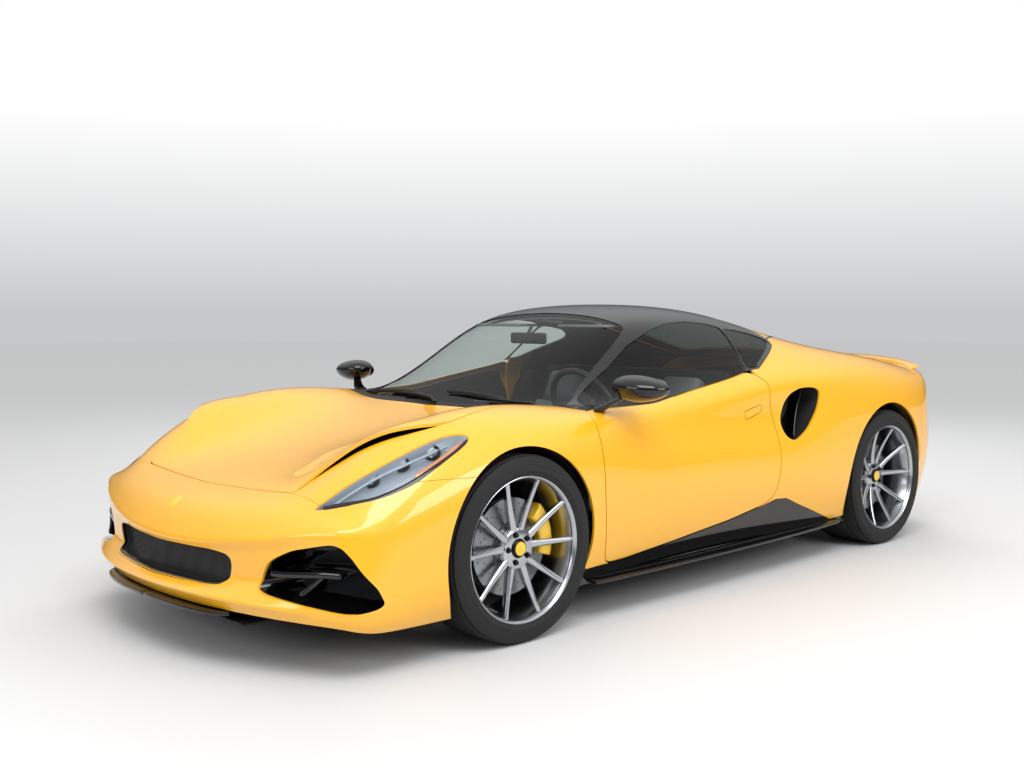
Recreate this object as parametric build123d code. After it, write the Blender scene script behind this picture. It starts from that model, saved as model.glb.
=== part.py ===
"""Two-seat mid-engined coupe, built up from its real panels.

Frame: +X to the car's left, +Y to its tail, +Z up, millimetres. The origin is on the ground under
the middle of the car. Left-hand pieces are modelled and the right-hand ones are mirrored from them.
"""
from build123d import *
import math
import os

os.makedirs("parts", exist_ok=True)

# ---------------------------------------------------------------- driving dimensions
LENGTH = 4413.0
WHEELBASE = 2575.0
FRONT_OVERHANG = 1011.0
NOSE_Y = -LENGTH / 2
TAIL_Y = LENGTH / 2
FRONT_Y = NOSE_Y + FRONT_OVERHANG          # front axle
REAR_Y = FRONT_Y + WHEELBASE               # rear axle
FLOOR_Z = 125.0                            # underside of the floor
FLOOR_THICK = 60.0
REACH = 1400.0                             # half-size of a cutter that passes the whole body
HIGH = 1400.0                              # above the roof

PANEL = 30.0                               # outer panels
DOOR_THICK = 110.0
DOOR_FLANGE = 15.0                         # inner door stops this far short of its skin
GLASS = 6.0
ROOF_THICK = 30.0
SHUT = 6.0                                 # gap round a panel that opens
SEAM = 0.5                                 # gap between fixed panels
SEAT_GAP = 0.3                             # gap under what only rests
RUNNING = 0.08                             # radial clearance of a pin or stub axle

# ---------------------------------------------------------------- wheels and hubs
RIM_R = 267.0
RIM_WELL_R = 241.0
RIM_FLANGE = 8.0
RIM_WALL = 9.0
TYRE_SHOULDER = 28.0
LIP_IN = 13.0                              # rim lip inboard of the tyre's wall
HUB_LENGTH = 42.0
HUB_R = 78.0
STUB_R = 32.0
DISC_R = 178.0
DISC_THICK = 30.0
DISC_OFFSET = 25.0                         # disc inboard of the wheel's mounting face
HAT_R = 88.0
UPRIGHT_GAP = 12.0
UPRIGHT_THICK = 34.0
UPRIGHT_HEIGHT = 260.0
UPRIGHT_WIDTH = 100.0
BALL_PIN_R = 9.0
WELL_X = 495.0                             # inner wall of the wheel wells

AXLES = {
    # axle: y, tyre radius, tyre width, wheel centre x, hub face behind the lip, arch radius, caliper side
    "front": (FRONT_Y, 340.0, 245.0, 805.0, 30.0, 373.0, 1),
    "rear": (REAR_Y, 343.0, 295.0, 790.0, 62.0, 384.0, -1),
}

# ---------------------------------------------------------------- body sections
# y, centre z, bonnet (x, z), crest (x, z), shoulder (x, z), waist (x, z), rocker (x, z), bottom z
BODY = [
    (-2290, 395, 300, 388, 560, 372, 760, 350, 850, 300, 850, 255, 130),
    (-2120, 505, 320, 500, 600, 470, 790, 430, 870, 330, 870, 255, 130),
    (-1900, 572, 340, 570, 655, 600, 830, 530, 900, 430, 890, 260, 130),
    (-1600, 640, 350, 650, 690, 768, 860, 690, 930, 520, 915, 265, 132),
    (-1195, 722, 360, 735, 700, 845, 878, 752, 943, 560, 925, 270, 135),
    (-800, 785, 370, 788, 705, 828, 858, 745, 925, 560, 902, 275, 138),
    (-200, 835, 370, 833, 735, 842, 850, 762, 905, 560, 872, 285, 140),
    (350, 900, 370, 896, 750, 905, 862, 812, 898, 610, 884, 300, 142),
    (900, 952, 370, 948, 750, 962, 898, 850, 942, 610, 928, 305, 145),
    (1380, 948, 370, 944, 745, 965, 905, 838, 947, 610, 938, 310, 150),
    (1800, 930, 370, 926, 710, 925, 868, 800, 915, 600, 905, 330, 160),
    (2060, 935, 370, 930, 650, 905, 800, 790, 850, 600, 845, 340, 170),
    (2290, 925, 370, 918, 600, 880, 740, 770, 790, 600, 785, 350, 175),
]
ROCKER_TUCK = 55.0                         # bottom edge inboard of the rocker

# y, centre z, roof edge (x, z), drip (x, z), belt (x, z), foot (x, z)
CABIN = [
    (-905, 735, 560, 700, 640, 680, 680, 660, 700, 600),
    (-751, 848, 632, 795, 690, 745, 745, 700, 765, 600),
    (-470, 1033, 560, 982, 628, 930, 760, 765, 790, 600),
    (-192, 1180, 486, 1150, 566, 1108, 786, 850, 815, 600),
    (120, 1226, 478, 1184, 552, 1142, 795, 862, 830, 600),
    (450, 1208, 462, 1164, 538, 1118, 790, 900, 830, 600),
    (800, 1145, 440, 1098, 512, 1054, 760, 930, 800, 600),
    (1250, 1035, 415, 1000, 480, 975, 700, 900, 740, 600),
    (1700, 935, 390, 915, 450, 900, 640, 860, 680, 600),
    (2000, 890, 370, 875, 430, 865, 600, 830, 640, 600),
]

# left half of the nose and tail in plan, from the centre line outwards
NOSE_PLAN = [(0, NOSE_Y), (480, -2165), (790, -1950), (925, -1600), (1010, -700)]
TAIL_PLAN = [(0, TAIL_Y), (470, 2180), (770, 2040), (915, 1780), (1010, 1000)]


# ---------------------------------------------------------------- shape helpers
def rounded_edges(corners, share=0.45, closed=True):
    """Straight runs joined by the largest tangent arcs that fit at each corner."""
    count = len(corners)
    arcs = []
    for i in range(count) if closed else range(1, count - 1):
        corner = corners[i]
        back, ahead = corners[i - 1] - corner, corners[(i + 1) % count] - corner
        reach = share * min(back.length, ahead.length)
        start, end = corner + back.normalized() * reach, corner + ahead.normalized() * reach
        u, v = (start - corner).normalized(), (end - corner).normalized()
        half = math.acos(max(-1.0, min(1.0, u.dot(v)))) / 2
        depth = reach / math.cos(half) - reach * math.tan(half)
        arcs.append((start, corner + (u + v).normalized() * depth, end))
    edges = [] if closed else [Edge.make_line(corners[0], arcs[0][0])]
    for i, (start, middle, end) in enumerate(arcs):
        edges.append(Edge.make_three_point_arc(start, middle, end))
        if closed or i + 1 < len(arcs):
            edges.append(Edge.make_line(end, arcs[(i + 1) % len(arcs)][0]))
    if not closed:
        edges.append(Edge.make_line(arcs[-1][2], corners[-1]))
    return edges


def mirrored(half):
    """Closed outline from its left half: the right half follows in reverse."""
    return half + [(-x, other) for x, other in reversed(half) if x]


def section_wire(y, top, half):
    return Wire(rounded_edges([Vector(x, y, z) for x, z in mirrored([(0, top)] + half)]))


def body_section(row, inset):
    y, top, xb, zb, xc, zc, xs, zs, xw, zw, xr, zr, foot = row
    half = [
        (xb - inset, zb - inset),
        (xc - inset, zc - inset),
        (xs - inset, zs - inset),
        (xw - inset, zw),
        (xr - inset, zr),
        (xr - ROCKER_TUCK - inset, foot + inset),
    ]
    return section_wire(y, top - inset, half)


def cabin_section(row, inset):
    y, top, xe, ze, xd, zd, xb, zb, xf, zf = row
    half = [
        (xe - inset * 0.5, ze - inset),
        (xd - inset * 0.8, zd - inset * 0.8),
        (xb - inset, zb),
        (xf - inset, zf),
    ]
    return section_wire(y, top - inset, half)


def plan_plug(outline, inset):
    """Upright plug with the plan curve of the nose or the tail, taken in by an inset."""
    sign = math.copysign(1, outline[-1][1] - outline[0][1])
    left = [Vector(max(0, x - inset), y + sign * inset, 0) for x, y in outline]
    right = [Vector(-p.X, p.Y, 0) for p in reversed(left) if p.X]
    edges = rounded_edges(right + left, closed=False)
    face = Face(Wire(edges + [Edge.make_line(left[-1], right[0])]))
    return Solid.extrude(face, Vector(0, 0, HIGH))


def body_volume(inset=0.0):
    """Body between its end sections; the nose and tail still need their plan curves."""
    return Solid.make_loft([body_section(row, inset) for row in BODY], True)


def cabin_volume(inset=0.0):
    return Solid.make_loft([cabin_section(row, inset) for row in CABIN], True)


def block(low, high):
    size = [b - a for a, b in zip(low, high)]
    centre = [(a + b) / 2 for a, b in zip(low, high)]
    return Pos(*centre) * Box(*size)


def side_prism(outline, x_low=-REACH, x_high=REACH):
    """Outline in (y, z), extruded along X."""
    face = Face(Wire.make_polygon([Vector(x_low, y, z) for y, z in outline], close=True))
    return Solid.extrude(face, Vector(x_high - x_low, 0, 0))


def top_prism(outline, z_low=380.0, z_high=HIGH):
    """Outline in (x, y), extruded along Z."""
    face = Face(Wire.make_polygon([Vector(x, y, z_low) for x, y in outline], close=True))
    return Solid.extrude(face, Vector(0, 0, z_high - z_low))


def front_prism(outline, y_low, y_high):
    """Outline in (x, z), extruded along Y."""
    face = Face(Wire.make_polygon([Vector(x, y_low, z) for x, z in outline], close=True))
    return Solid.extrude(face, Vector(0, y_high - y_low, 0))


def grown(outline, by):
    """The same outline with every edge moved outwards."""
    count = len(outline)
    area = sum(outline[i - 1][0] * outline[i][1] - outline[i][0] * outline[i - 1][1] for i in range(count))
    turn = math.copysign(1.0, area)
    moved = []
    for i, (x, y) in enumerate(outline):
        before, after = outline[i - 1], outline[(i + 1) % count]
        n1 = Vector(turn * (y - before[1]), turn * (before[0] - x)).normalized()
        n2 = Vector(turn * (after[1] - y), turn * (x - after[0])).normalized()
        shift = (n1 + n2) * (by / (1 + n1.dot(n2)))
        moved.append((x + shift.X, y + shift.Y))
    return moved


def rod(start, end, radius):
    start, end = Vector(*start), Vector(*end)
    return Solid.make_cylinder(radius, (end - start).length, Plane(origin=start, z_dir=end - start))


def drum(x_low, x_high, y, z, radius):
    """Cylinder along X."""
    return rod((x_low, y, z), (x_high, y, z), radius)


def right_of(shape):
    return mirror(shape, about=Plane.YZ)


def pair(shape):
    return Compound(shape.solids() + right_of(shape).solids())


def without(shape, *cutters):
    for cutter in cutters:
        shape = shape - cutter
    return shape


# ---------------------------------------------------------------- shut lines
DOOR_FRONT_Y = -803.0
HINGE_PIN_R = 5.0
LID_HINGES = (-120.0, 120.0)
AXIS_IN = 14.0                             # hinge axes lie this far inside skin and edge
DOOR_AXIS = (911.0, DOOR_FRONT_Y + AXIS_IN)
BELT_X = 705.0                             # inner edge of the door's top
DOOR_BOTTOM = 242.0
FRONT_WALL_TOP = 700.0
# door outline in side view (y, z)
DOOR = [(DOOR_FRONT_Y, DOOR_BOTTOM), (350, 350), (388, 560), (360, 760), (318, 905), (300, 1000), (DOOR_FRONT_Y, 1000)]
BONNET_AXIS = (-824.0, 812.0)
BONNET = mirrored([(0, -1945), (523, -1906), (565, -1650), (612, -1350), (640, -1100), (650, -810), (400, -862), (0, -892)])
HEADLAMP = [(640, -1925), (655, -1800), (680, -1600), (735, -1420), (775, -1335), (815, -1420), (850, -1600), (840, -1700), (770, -1810)]
VENT = [(552, -1900), (575, -1640), (620, -1380), (648, -1290), (655, -1400), (636, -1560), (600, -1740)]
SCREEN = mirrored([(0, -915), (690, -905), (690, -800), (632, -735), (477, -188)])
COWL = mirrored([(0, -886), (400, -856), (658, -802), (699, -800), (699, -560)])
BUMPER_TOP_Z = 620.0                       # bumper meets the wing between headlamp and arch
REAR_BUMPER_Y = 1765.0
ROOF_REAR_Y = 480.0
LID_AXIS = (ROOF_REAR_Y + SHUT + AXIS_IN, 1186.0)
LID = mirrored([(0, ROOF_REAR_Y + SHUT), (415, ROOF_REAR_Y + SHUT), (450, 1000), (505, 1500), (530, 1900), (0, 1950)])
LID_GLASS = mirrored([(0, 575), (330, 575), (345, 1000), (380, 1480)])
# side glass in side view (y, z)
DOOR_GLASS = [(-660, 750), (-660, 790), (-560, 855), (-300, 1020), (-60, 1108), (150, 1124), (300, 1114), (340, 1000),
              (310, 850), (-100, 780)]
QUARTER_GLASS = [(314, 1112), (480, 1085), (630, 1044), (640, 1016), (590, 965), (500, 940), (366, 932), (360, 1000)]
ROOF_SIDE = [(-920, 772), (-920, HIGH), (ROOF_REAR_Y, HIGH), (ROOF_REAR_Y, 1150), (700, 1120), (660, 1052),
             (600, 990), (500, 925), (394, 925), (300, 960), (0, 900), (-690, 852), (-809, 852), (-809, 772)]
INTAKE = [(432, 798), (520, 845), (700, 838), (712, 800), (625, 650), (560, 600), (500, 598), (470, 640)]
GRILLE = mirrored([(0, 262), (330, 262), (395, 275), (425, 350), (395, 372)])
SIDE_OPENING = [(500, 300), (560, 400), (760, 455), (850, 225), (620, 225)]


# ---------------------------------------------------------------- master volumes
BODY_OUT = body_volume()
BODY_IN = body_volume(PANEL)
BODY_FIT = body_volume(PANEL + SEAT_GAP)   # what stands against the panels' inner faces
CABIN_OUT = cabin_volume()
CABIN_IN = cabin_volume(ROOF_THICK)
CABIN_GLASS = cabin_volume(GLASS)


def arch_cut(axle, grow=0.0):
    """Wheel opening on the left: round over the tyre, straight down below the axle."""
    y, radius, _, _, _, arch, _ = AXLES[axle]
    reach = arch + grow
    low = block((WELL_X - grow, y - reach, 0), (REACH, y + reach, radius))
    return drum(WELL_X - grow, REACH, y, radius, reach) + low


FRONT_ARCH = arch_cut("front")
REAR_ARCH = arch_cut("rear")
DOOR_HOLE = side_prism(grown(DOOR, SHUT), BELT_X - SHUT)
HEADLAMP_HOLE = top_prism(HEADLAMP)
LID_HOLE = top_prism(grown(LID, SHUT), 600)
BONNET_HOLE = top_prism(grown(BONNET, SHUT))


# ---------------------------------------------------------------- front end
BUMPER_SIDE = [(FRONT_Y, BUMPER_TOP_Z), (-1760, BUMPER_TOP_Z - 30), (-1925, BUMPER_TOP_Z - 60), (-1925, HIGH),
               (-2400, HIGH), (-2400, 100), (FRONT_Y, 100)]


def nose_shell():
    ahead_of_doors = block((-REACH, -2400, 100), (REACH, DOOR_FRONT_Y - SHUT, HIGH))
    skin = BODY_OUT & ahead_of_doors & plan_plug(NOSE_PLAN, 0)
    hollow = BODY_IN & ahead_of_doors & plan_plug(NOSE_PLAN, PANEL)
    return without(skin, FRONT_ARCH, right_of(FRONT_ARCH)) - hollow


NOSE_SHELL = nose_shell()


def front_bumper():
    openings = [
        front_prism(GRILLE, -2400, -2000),
        front_prism(SIDE_OPENING, -2400, -1640),
        front_prism([(-x, z) for x, z in SIDE_OPENING], -2400, -1640),
        block((-640, -1600, 100), (640, FRONT_Y + 50, 400)),
    ]
    skin = NOSE_SHELL & side_prism(BUMPER_SIDE)
    return without(skin, BONNET_HOLE, HEADLAMP_HOLE, right_of(HEADLAMP_HOLE), *openings)


def fender():
    left = block((0, -2300, DOOR_BOTTOM), (REACH, DOOR_FRONT_Y - SHUT, HIGH)) - block((0, -2300, 0), (600, 0, 400))
    skin = (NOSE_SHELL & left) - side_prism(grown(BUMPER_SIDE, SEAM))
    return without(skin, BONNET_HOLE, HEADLAMP_HOLE, top_prism(COWL), CABIN_OUT)


def headlamp():
    return NOSE_SHELL & top_prism(grown(HEADLAMP, -SEAM))


def bonnet():
    skin = (NOSE_SHELL & top_prism(BONNET)) - cabin_volume(-SHUT)
    vent = top_prism(VENT)
    skin = without(skin, vent, right_of(vent))
    y, z = BONNET_AXIS
    corner = block((-REACH, y, z), (REACH, y + 40, z + 60)) - drum(-REACH, REACH, y, z, AXIS_IN)
    socket = drum(600, REACH, y, z, BALL_PIN_R + RUNNING)
    return without(skin, corner, socket, right_of(socket))


def cowl():
    across = (BODY_OUT & top_prism(COWL, 600)) - BODY_IN
    y, z = BONNET_AXIS
    pivot = drum(625, 658 + SHUT, y, z, BALL_PIN_R)
    return across - CABIN_OUT, pivot


# ---------------------------------------------------------------- cabin shell
def pane(region):
    """Glass follows the cabin's outer surface and runs down behind the panel below it."""
    return (CABIN_OUT & region) - CABIN_GLASS


def windshield():
    return pane(top_prism(grown(SCREEN, -SEAM), FRONT_WALL_TOP + 5))


def roof():
    skin = (CABIN_OUT & side_prism(ROOF_SIDE)) - top_prism(SCREEN, 600)
    for window in (grown(DOOR_GLASS, SHUT), QUARTER_GLASS):
        skin = skin - side_prism(window, 400, REACH) - side_prism(window, -REACH, -400)
    return skin - CABIN_IN - LID_HOLE


def quarter_glass():
    return pane(side_prism(grown(QUARTER_GLASS, -SEAM), 400)) - BODY_OUT


def quarter():
    ahead = block((0, 300, 100), (REACH, REAR_BUMPER_Y - SEAM, HIGH)) - block((0, 0, 0), (640, REAR_BUMPER_Y, 500))
    region = without(ahead, DOOR_HOLE, LID_HOLE, REAR_ARCH, side_prism(INTAKE, 700), side_prism(SILL_SIDE, 0))
    region = without(region, side_prism(grown(ROOF_SIDE, SEAM), 0), side_prism(QUARTER_GLASS, 400))
    region = without(region, block((0, 0, 0), (SILL_X[1] + 2, 1000, 340)), block((0, 0, 900), (REACH, 366, HIGH)))
    return ((BODY_OUT & region) + (CABIN_OUT & region)) - BODY_IN - CABIN_IN


# ---------------------------------------------------------------- doors
def door():
    region = side_prism(DOOR, BELT_X) - block((0, -2000, 0), (SILL_X[1] + SHUT, 2000, 400))
    solid = (BODY_OUT & region) - body_volume(DOOR_THICK)
    rear = [(y, z) for y, z in DOOR if y > 0]
    flange = rear + [(y - DOOR_FLANGE, z) for y, z in reversed(rear)]
    x, y = DOOR_AXIS
    corner = block((x, y - 40, 0), (x + 60, y, HIGH)) - rod((x, y, 0), (x, y, HIGH), AXIS_IN)
    swing = block((0, y - 40, 0), (x - AXIS_IN - 10, y + 160, DOOR_BOTTOM + 32))
    return solid - swing - (side_prism(flange, BELT_X) & BODY_IN) - corner - DOOR_PANE


DOOR_PANE = pane(side_prism(DOOR_GLASS, 400))


# ---------------------------------------------------------------- rear end
SILL_SIDE = [(DOOR_FRONT_Y - SHUT, 100), (DOOR_FRONT_Y - SHUT, DOOR_BOTTOM - SHUT), (350, 350 - SHUT), (940, 190),
             (990, 100)]


def side_skirt():
    region = without(side_prism(SILL_SIDE, SILL_X[1] + 1), FRONT_ARCH, REAR_ARCH)
    return (BODY_OUT & region) - body_volume(90.0)


def tailgate():
    region = top_prism(LID, 600) - top_prism(LID_GLASS, 600)
    y, z = LID_AXIS
    corner = block((-REACH, y - 40, z), (REACH, y, HIGH)) - drum(-REACH, REACH, y, z, AXIS_IN)
    skin = ((BODY_OUT & region) + (CABIN_OUT & region)) - BODY_IN - CABIN_IN - corner
    for x in LID_HINGES:
        pocket = block((x - 17, y - 60, z - 12), (x + 17, y + 12, HIGH))
        skin = skin - pocket - drum(x - 31, x + 31, y, z, HINGE_PIN_R + RUNNING)
    return skin


def lid_hinges():
    """Tongues on the roof's rear edge, each with the pin that the lid turns on."""
    y, z = LID_AXIS
    return [block((x - 15, ROOF_REAR_Y - 12, z - 9), (x + 15, y, z + 8)) + drum(x - 30, x + 30, y, z, HINGE_PIN_R)
            for x in LID_HINGES]


def rear_glass():
    return pane(top_prism(grown(LID_GLASS, -SEAM), 600)) - BODY_OUT


LAMP_LOW, LAMP_HIGH = 770.0, 835.0
DIFFUSER_HALF = 640.0
DIFFUSER_TOP = 360.0


def tail_shell():
    behind = block((-REACH, REAR_BUMPER_Y, 100), (REACH, 2400, HIGH))
    skin = (BODY_OUT & behind & plan_plug(TAIL_PLAN, 0)) - LID_HOLE
    return skin - (BODY_IN & behind & plan_plug(TAIL_PLAN, PANEL))


TAIL_SHELL = tail_shell()


def lamp_region(gap):
    return block((380 + gap, 1860 + gap, LAMP_LOW + gap), (REACH, 2400, LAMP_HIGH - gap))


def rear_bumper():
    lamp = lamp_region(0)
    return without(TAIL_SHELL, lamp, right_of(lamp), block((-DIFFUSER_HALF, 1700, 0), (DIFFUSER_HALF, 2400, DIFFUSER_TOP)))


def diffuser():
    return TAIL_SHELL & block((SEAM - DIFFUSER_HALF, 1700, 0), (DIFFUSER_HALF - SEAM, 2400, DIFFUSER_TOP - SEAM))


# ---------------------------------------------------------------- tub
SILL_X = (690.0, 764.0)
POST_Y = (-846.0, DOOR_FRONT_Y - SHUT)
BULKHEAD_Y = 480.0
RAIL_X = (335.0, 380.0)


def tub():
    """Floor, sills, bulkheads and door posts, trimmed to the panels' inner faces."""
    floor = block((-SILL_X[1], POST_Y[0], FLOOR_Z), (SILL_X[1], 960, FLOOR_Z + FLOOR_THICK))
    sill = block((SILL_X[0], POST_Y[0], FLOOR_Z), (SILL_X[1], 960, 330))
    front_wall = block((-REACH, POST_Y[0], FLOOR_Z), (REACH, POST_Y[0] + 20, FRONT_WALL_TOP))
    tunnel = block((-90, -780, FLOOR_Z), (90, BULKHEAD_Y, 340))
    rear_wall = block((-REACH, BULKHEAD_Y, FLOOR_Z), (REACH, BULKHEAD_Y + 20, 820))
    b_post = block((SILL_X[0], 415, FLOOR_Z), (REACH, BULKHEAD_Y + 20, 860)) - DOOR_HOLE
    outboard = side_prism(SILL_SIDE, SILL_X[1] + SEAT_GAP)
    walls = without(front_wall + rear_wall + b_post + right_of(b_post), FRONT_ARCH, right_of(FRONT_ARCH))
    walls = without(walls, outboard, right_of(outboard)) & BODY_FIT
    low = without(floor + sill + right_of(sill) + tunnel, FRONT_ARCH, right_of(FRONT_ARCH))
    rails = rail("front", POST_Y[0], -2020) + rail("rear", BULKHEAD_Y + 20, 1740)
    radiator = block((-450, -2060, 190), (450, -2020, 470))
    return low + walls + rails + right_of(rails) + radiator


def rail(axle, start, end):
    """Box member along one side of a bay, with the tower that the arms are bolted to."""
    y, radius, _, _, _, _, _ = AXLES[axle]
    near, far = sorted((start, end))
    half = UPRIGHT_HEIGHT / 2 + 14 + 20
    beam = block((RAIL_X[0], near, 290), (RAIL_X[1], far, 420))
    return beam + block((RAIL_X[0], y - 170, radius - half), (RAIL_X[1], y + 170, radius + half))


def hinge_arms():
    """Two arms a side from the front wall to the door's pivot, each with its pin."""
    x, y = DOOR_AXIS
    parts = []
    for z in (400.0, 640.0):
        arm = block((x - 110, POST_Y[0] + 10, z), (x - 60, y + 6, z + 22)) + block((x - 110, y - 9, z), (x, y + 9, z + 22))
        parts.append(arm + rod((x, y, z - 18), (x, y, z + 40), HINGE_PIN_R))
    return parts


# ---------------------------------------------------------------- wheels
def wheel_stations(axle):
    """Lip, mounting face, disc and upright along X for the left wheel."""
    _, _, width, centre, depth, _, _ = AXLES[axle]
    lip = centre + width / 2 - LIP_IN
    mount = lip - depth - HUB_LENGTH
    disc_out = mount - DISC_OFFSET
    upright = disc_out - DISC_THICK - UPRIGHT_GAP
    return lip, mount, disc_out, upright


def tyre(axle):
    y, radius, width, centre, _, _, _ = AXLES[axle]
    half = width / 2
    bead = half - LIP_IN - RIM_FLANGE - SEAT_GAP
    middle = (RIM_R + radius) / 2
    profile = [(bead, RIM_WELL_R + SEAT_GAP), (bead, RIM_R + 1), (half - 3, RIM_R + 12), (half, middle),
               (half - 6, radius - TYRE_SHOULDER), (half - TYRE_SHOULDER, radius - 3), (0, radius)]
    outline = [Vector(u, 0, w) for u, w in profile] + [Vector(-u, 0, w) for u, w in reversed(profile) if u]
    ring = revolve(Face(Wire.make_polygon(outline, close=True)), Axis.X, 360)
    return Pos(centre, y, radius) * ring


def blade(angle, spread, depth):
    """One spoke from the hub to the barrel, its face sunk by depth at the hub."""
    inner_r, outer_r = 55.0, RIM_WELL_R - 4
    a0, a1 = math.radians(angle + spread * 0.35), math.radians(angle + spread)
    p0 = Vector(0, inner_r * math.sin(a0), inner_r * math.cos(a0))
    p1 = Vector(0, outer_r * math.sin(a1), outer_r * math.cos(a1))
    run = p1 - p0
    side = Vector(0, run.Z, -run.Y).normalized()
    wires = []
    for point, half, face_x, back in ((p0, 15.0, -depth, 40.0), (p1, 9.0, -12.0, 28.0)):
        near, far = Vector(face_x, 0, 0), Vector(face_x - back, 0, 0)
        corners = [point + side * half + near, point - side * half + near,
                   point - side * half * 0.7 + far, point + side * half * 0.7 + far]
        wires.append(Wire.make_polygon(corners, close=True))
    return Solid.make_loft(wires, True)


def rim(axle):
    """Barrel, hub and five pairs of spokes."""
    y, radius, width, _, depth, _, _ = AXLES[axle]
    lip = wheel_stations(axle)[0]
    barrel = width - 2 * LIP_IN
    inner = RIM_WELL_R - RIM_WALL
    profile = [(0, inner), (0, RIM_R), (-RIM_FLANGE, RIM_R), (-RIM_FLANGE, RIM_WELL_R), (RIM_FLANGE - barrel, RIM_WELL_R),
               (RIM_FLANGE - barrel, RIM_R), (-barrel, RIM_R), (-barrel, inner)]
    ring = revolve(Face(Wire.make_polygon([Vector(u, 0, w) for u, w in profile], close=True)), Axis.X, 360)
    body = ring + drum(-depth - HUB_LENGTH, -depth, 0, 0, HUB_R)
    for i in range(5):
        body = body + blade(i * 72.0, 20.0, depth) + blade(i * 72.0, -20.0, depth)
    body = body - drum(-depth - 60, 0, 0, 0, STUB_R + RUNNING)
    return Pos(lip, y, radius) * body


def brake_disc(axle):
    y, radius, _, _, _, _, _ = AXLES[axle]
    _, mount, disc_out, _ = wheel_stations(axle)
    plate = drum(disc_out - DISC_THICK, disc_out, y, radius, DISC_R)
    hat = drum(disc_out - DISC_THICK, mount, y, radius, HAT_R)
    return (plate + hat) - drum(disc_out - 100, mount + 100, y, radius, STUB_R + RUNNING)


def upright(axle):
    """Plate inboard of the disc with the stub axle that the wheel turns on."""
    y, radius, _, _, depth, _, _ = AXLES[axle]
    lip, _, _, face = wheel_stations(axle)
    low, high = radius - UPRIGHT_HEIGHT / 2, radius + UPRIGHT_HEIGHT / 2
    plate = block((face - UPRIGHT_THICK, y - UPRIGHT_WIDTH / 2, low), (face, y + UPRIGHT_WIDTH / 2, high))
    pin_x = face - UPRIGHT_THICK / 2
    body = plate + drum(face - UPRIGHT_THICK, lip - depth - 6, y, radius, STUB_R)
    sockets = [rod((pin_x, y, low - 1), (pin_x, y, low + 40), BALL_PIN_R + RUNNING),
               rod((pin_x, y, high - 40), (pin_x, y, high + 1), BALL_PIN_R + RUNNING)]
    return without(body, *sockets)


def caliper(axle):
    """Saddle over the disc's edge, carried by the upright."""
    y, radius, _, _, _, _, ahead = AXLES[axle]
    _, _, disc_out, face = wheel_stations(axle)
    inboard, outboard = face + 2, disc_out + 34
    body = drum(inboard, outboard, y, radius, DISC_R + 27) - drum(inboard, outboard, y, radius, DISC_R - 66)
    slot = drum(disc_out - DISC_THICK - 6, disc_out + 6, y, radius, DISC_R + 6)
    wedge = side_prism([(y, radius), (y + ahead * 400, radius - 190), (y + ahead * 400, radius + 190)], 0)
    body = (body & wedge) - slot
    near, far = sorted((y + ahead * (STUB_R + 4), y + ahead * 133))
    foot = block((face + SEAT_GAP, near, radius - 30), (face + 6, far, radius + 30))
    return body + foot


def suspension(axle):
    """Upper and lower arms from the well's wall to the ball pins of one upright."""
    y, radius, _, _, _, _, _ = AXLES[axle]
    face = wheel_stations(axle)[3]
    pin_x = face - UPRIGHT_THICK / 2
    half = UPRIGHT_HEIGHT / 2
    solids = []
    for sign in (1, -1):
        z = radius + sign * (half + 14)
        arm = rod((400, y - 140, z), (pin_x, y, z), 12) + rod((400, y + 140, z), (pin_x, y, z), 12)
        pin = rod((pin_x, y, z), (pin_x, y, z - sign * 50), BALL_PIN_R)
        solids.append(arm + pin + block((RAIL_X[1], y - 160, z - 20), (410, y + 160, z + 20)))
    return solids


# ---------------------------------------------------------------- cabin fittings
SEAT_X = 385.0


def seat():
    cushion = block((SEAT_X - 235, -330, 250), (SEAT_X + 235, 190, 380))
    back = Pos(SEAT_X, 250, 640) * Rot(-18, 0, 0) * Box(470, 110, 620)
    base = block((SEAT_X - 180, -250, FLOOR_Z + FLOOR_THICK + SEAT_GAP), (SEAT_X + 180, 150, 250))
    return cushion + back + base


STEER_TILT = 24.0
STEER_CENTRE = (SEAT_X, -320.0, 770.0)
STEER_SHAFT_R = 16.0


def steering_axis():
    return Vector(0, math.cos(math.radians(STEER_TILT)), math.sin(math.radians(STEER_TILT)))


def column(radius, start, end):
    """Cylinder on the steering axis, from start to end measured from the wheel's centre."""
    axis = steering_axis()
    return Solid.make_cylinder(radius, end - start, Plane(origin=Vector(*STEER_CENTRE) + axis * start, z_dir=axis))


def dashboard():
    wall = POST_Y[0] + 20 + SEAT_GAP
    panel = side_prism([(wall, 560), (wall, 690), (-700, 742), (-480, 720), (-440, 620), (-520, 560)], -680, 680)
    return panel - column(STEER_SHAFT_R + RUNNING, -400, 400)


def steering_wheel():
    centre, axis = Vector(*STEER_CENTRE), steering_axis()
    plane = Plane(origin=centre, x_dir=(1, 0, 0), z_dir=axis)
    ring = plane.location * Torus(175, 15)
    bars = plane.location * (Box(340, 28, 14) + Pos(0, -85, 0) * Box(28, 170, 14))
    return ring + bars + column(45, -20, 20) + column(STEER_SHAFT_R, -280, 0)


def mirror_shell():
    arm = rod((800, -640, 770), (930, -606, 868), 15)
    head = Pos(965, -600, 893) * Box(162, 120, 106)
    return fillet(head.edges(), 24) + arm


def engine():
    half = RAIL_X[0] - SEAT_GAP
    return block((-half, 640, 200), (half, 1250, 720))


# ---------------------------------------------------------------- nodes
def save(name, shape):
    solids = [solid for solid in shape.solids() if solid.volume > 500.0]
    export_step(Compound(solids) if len(solids) > 1 else solids[0], f"parts/{name}.step")


def save_both(name, shape):
    save(f"{name}_left", shape)
    save(f"{name}_right", right_of(shape))


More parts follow.
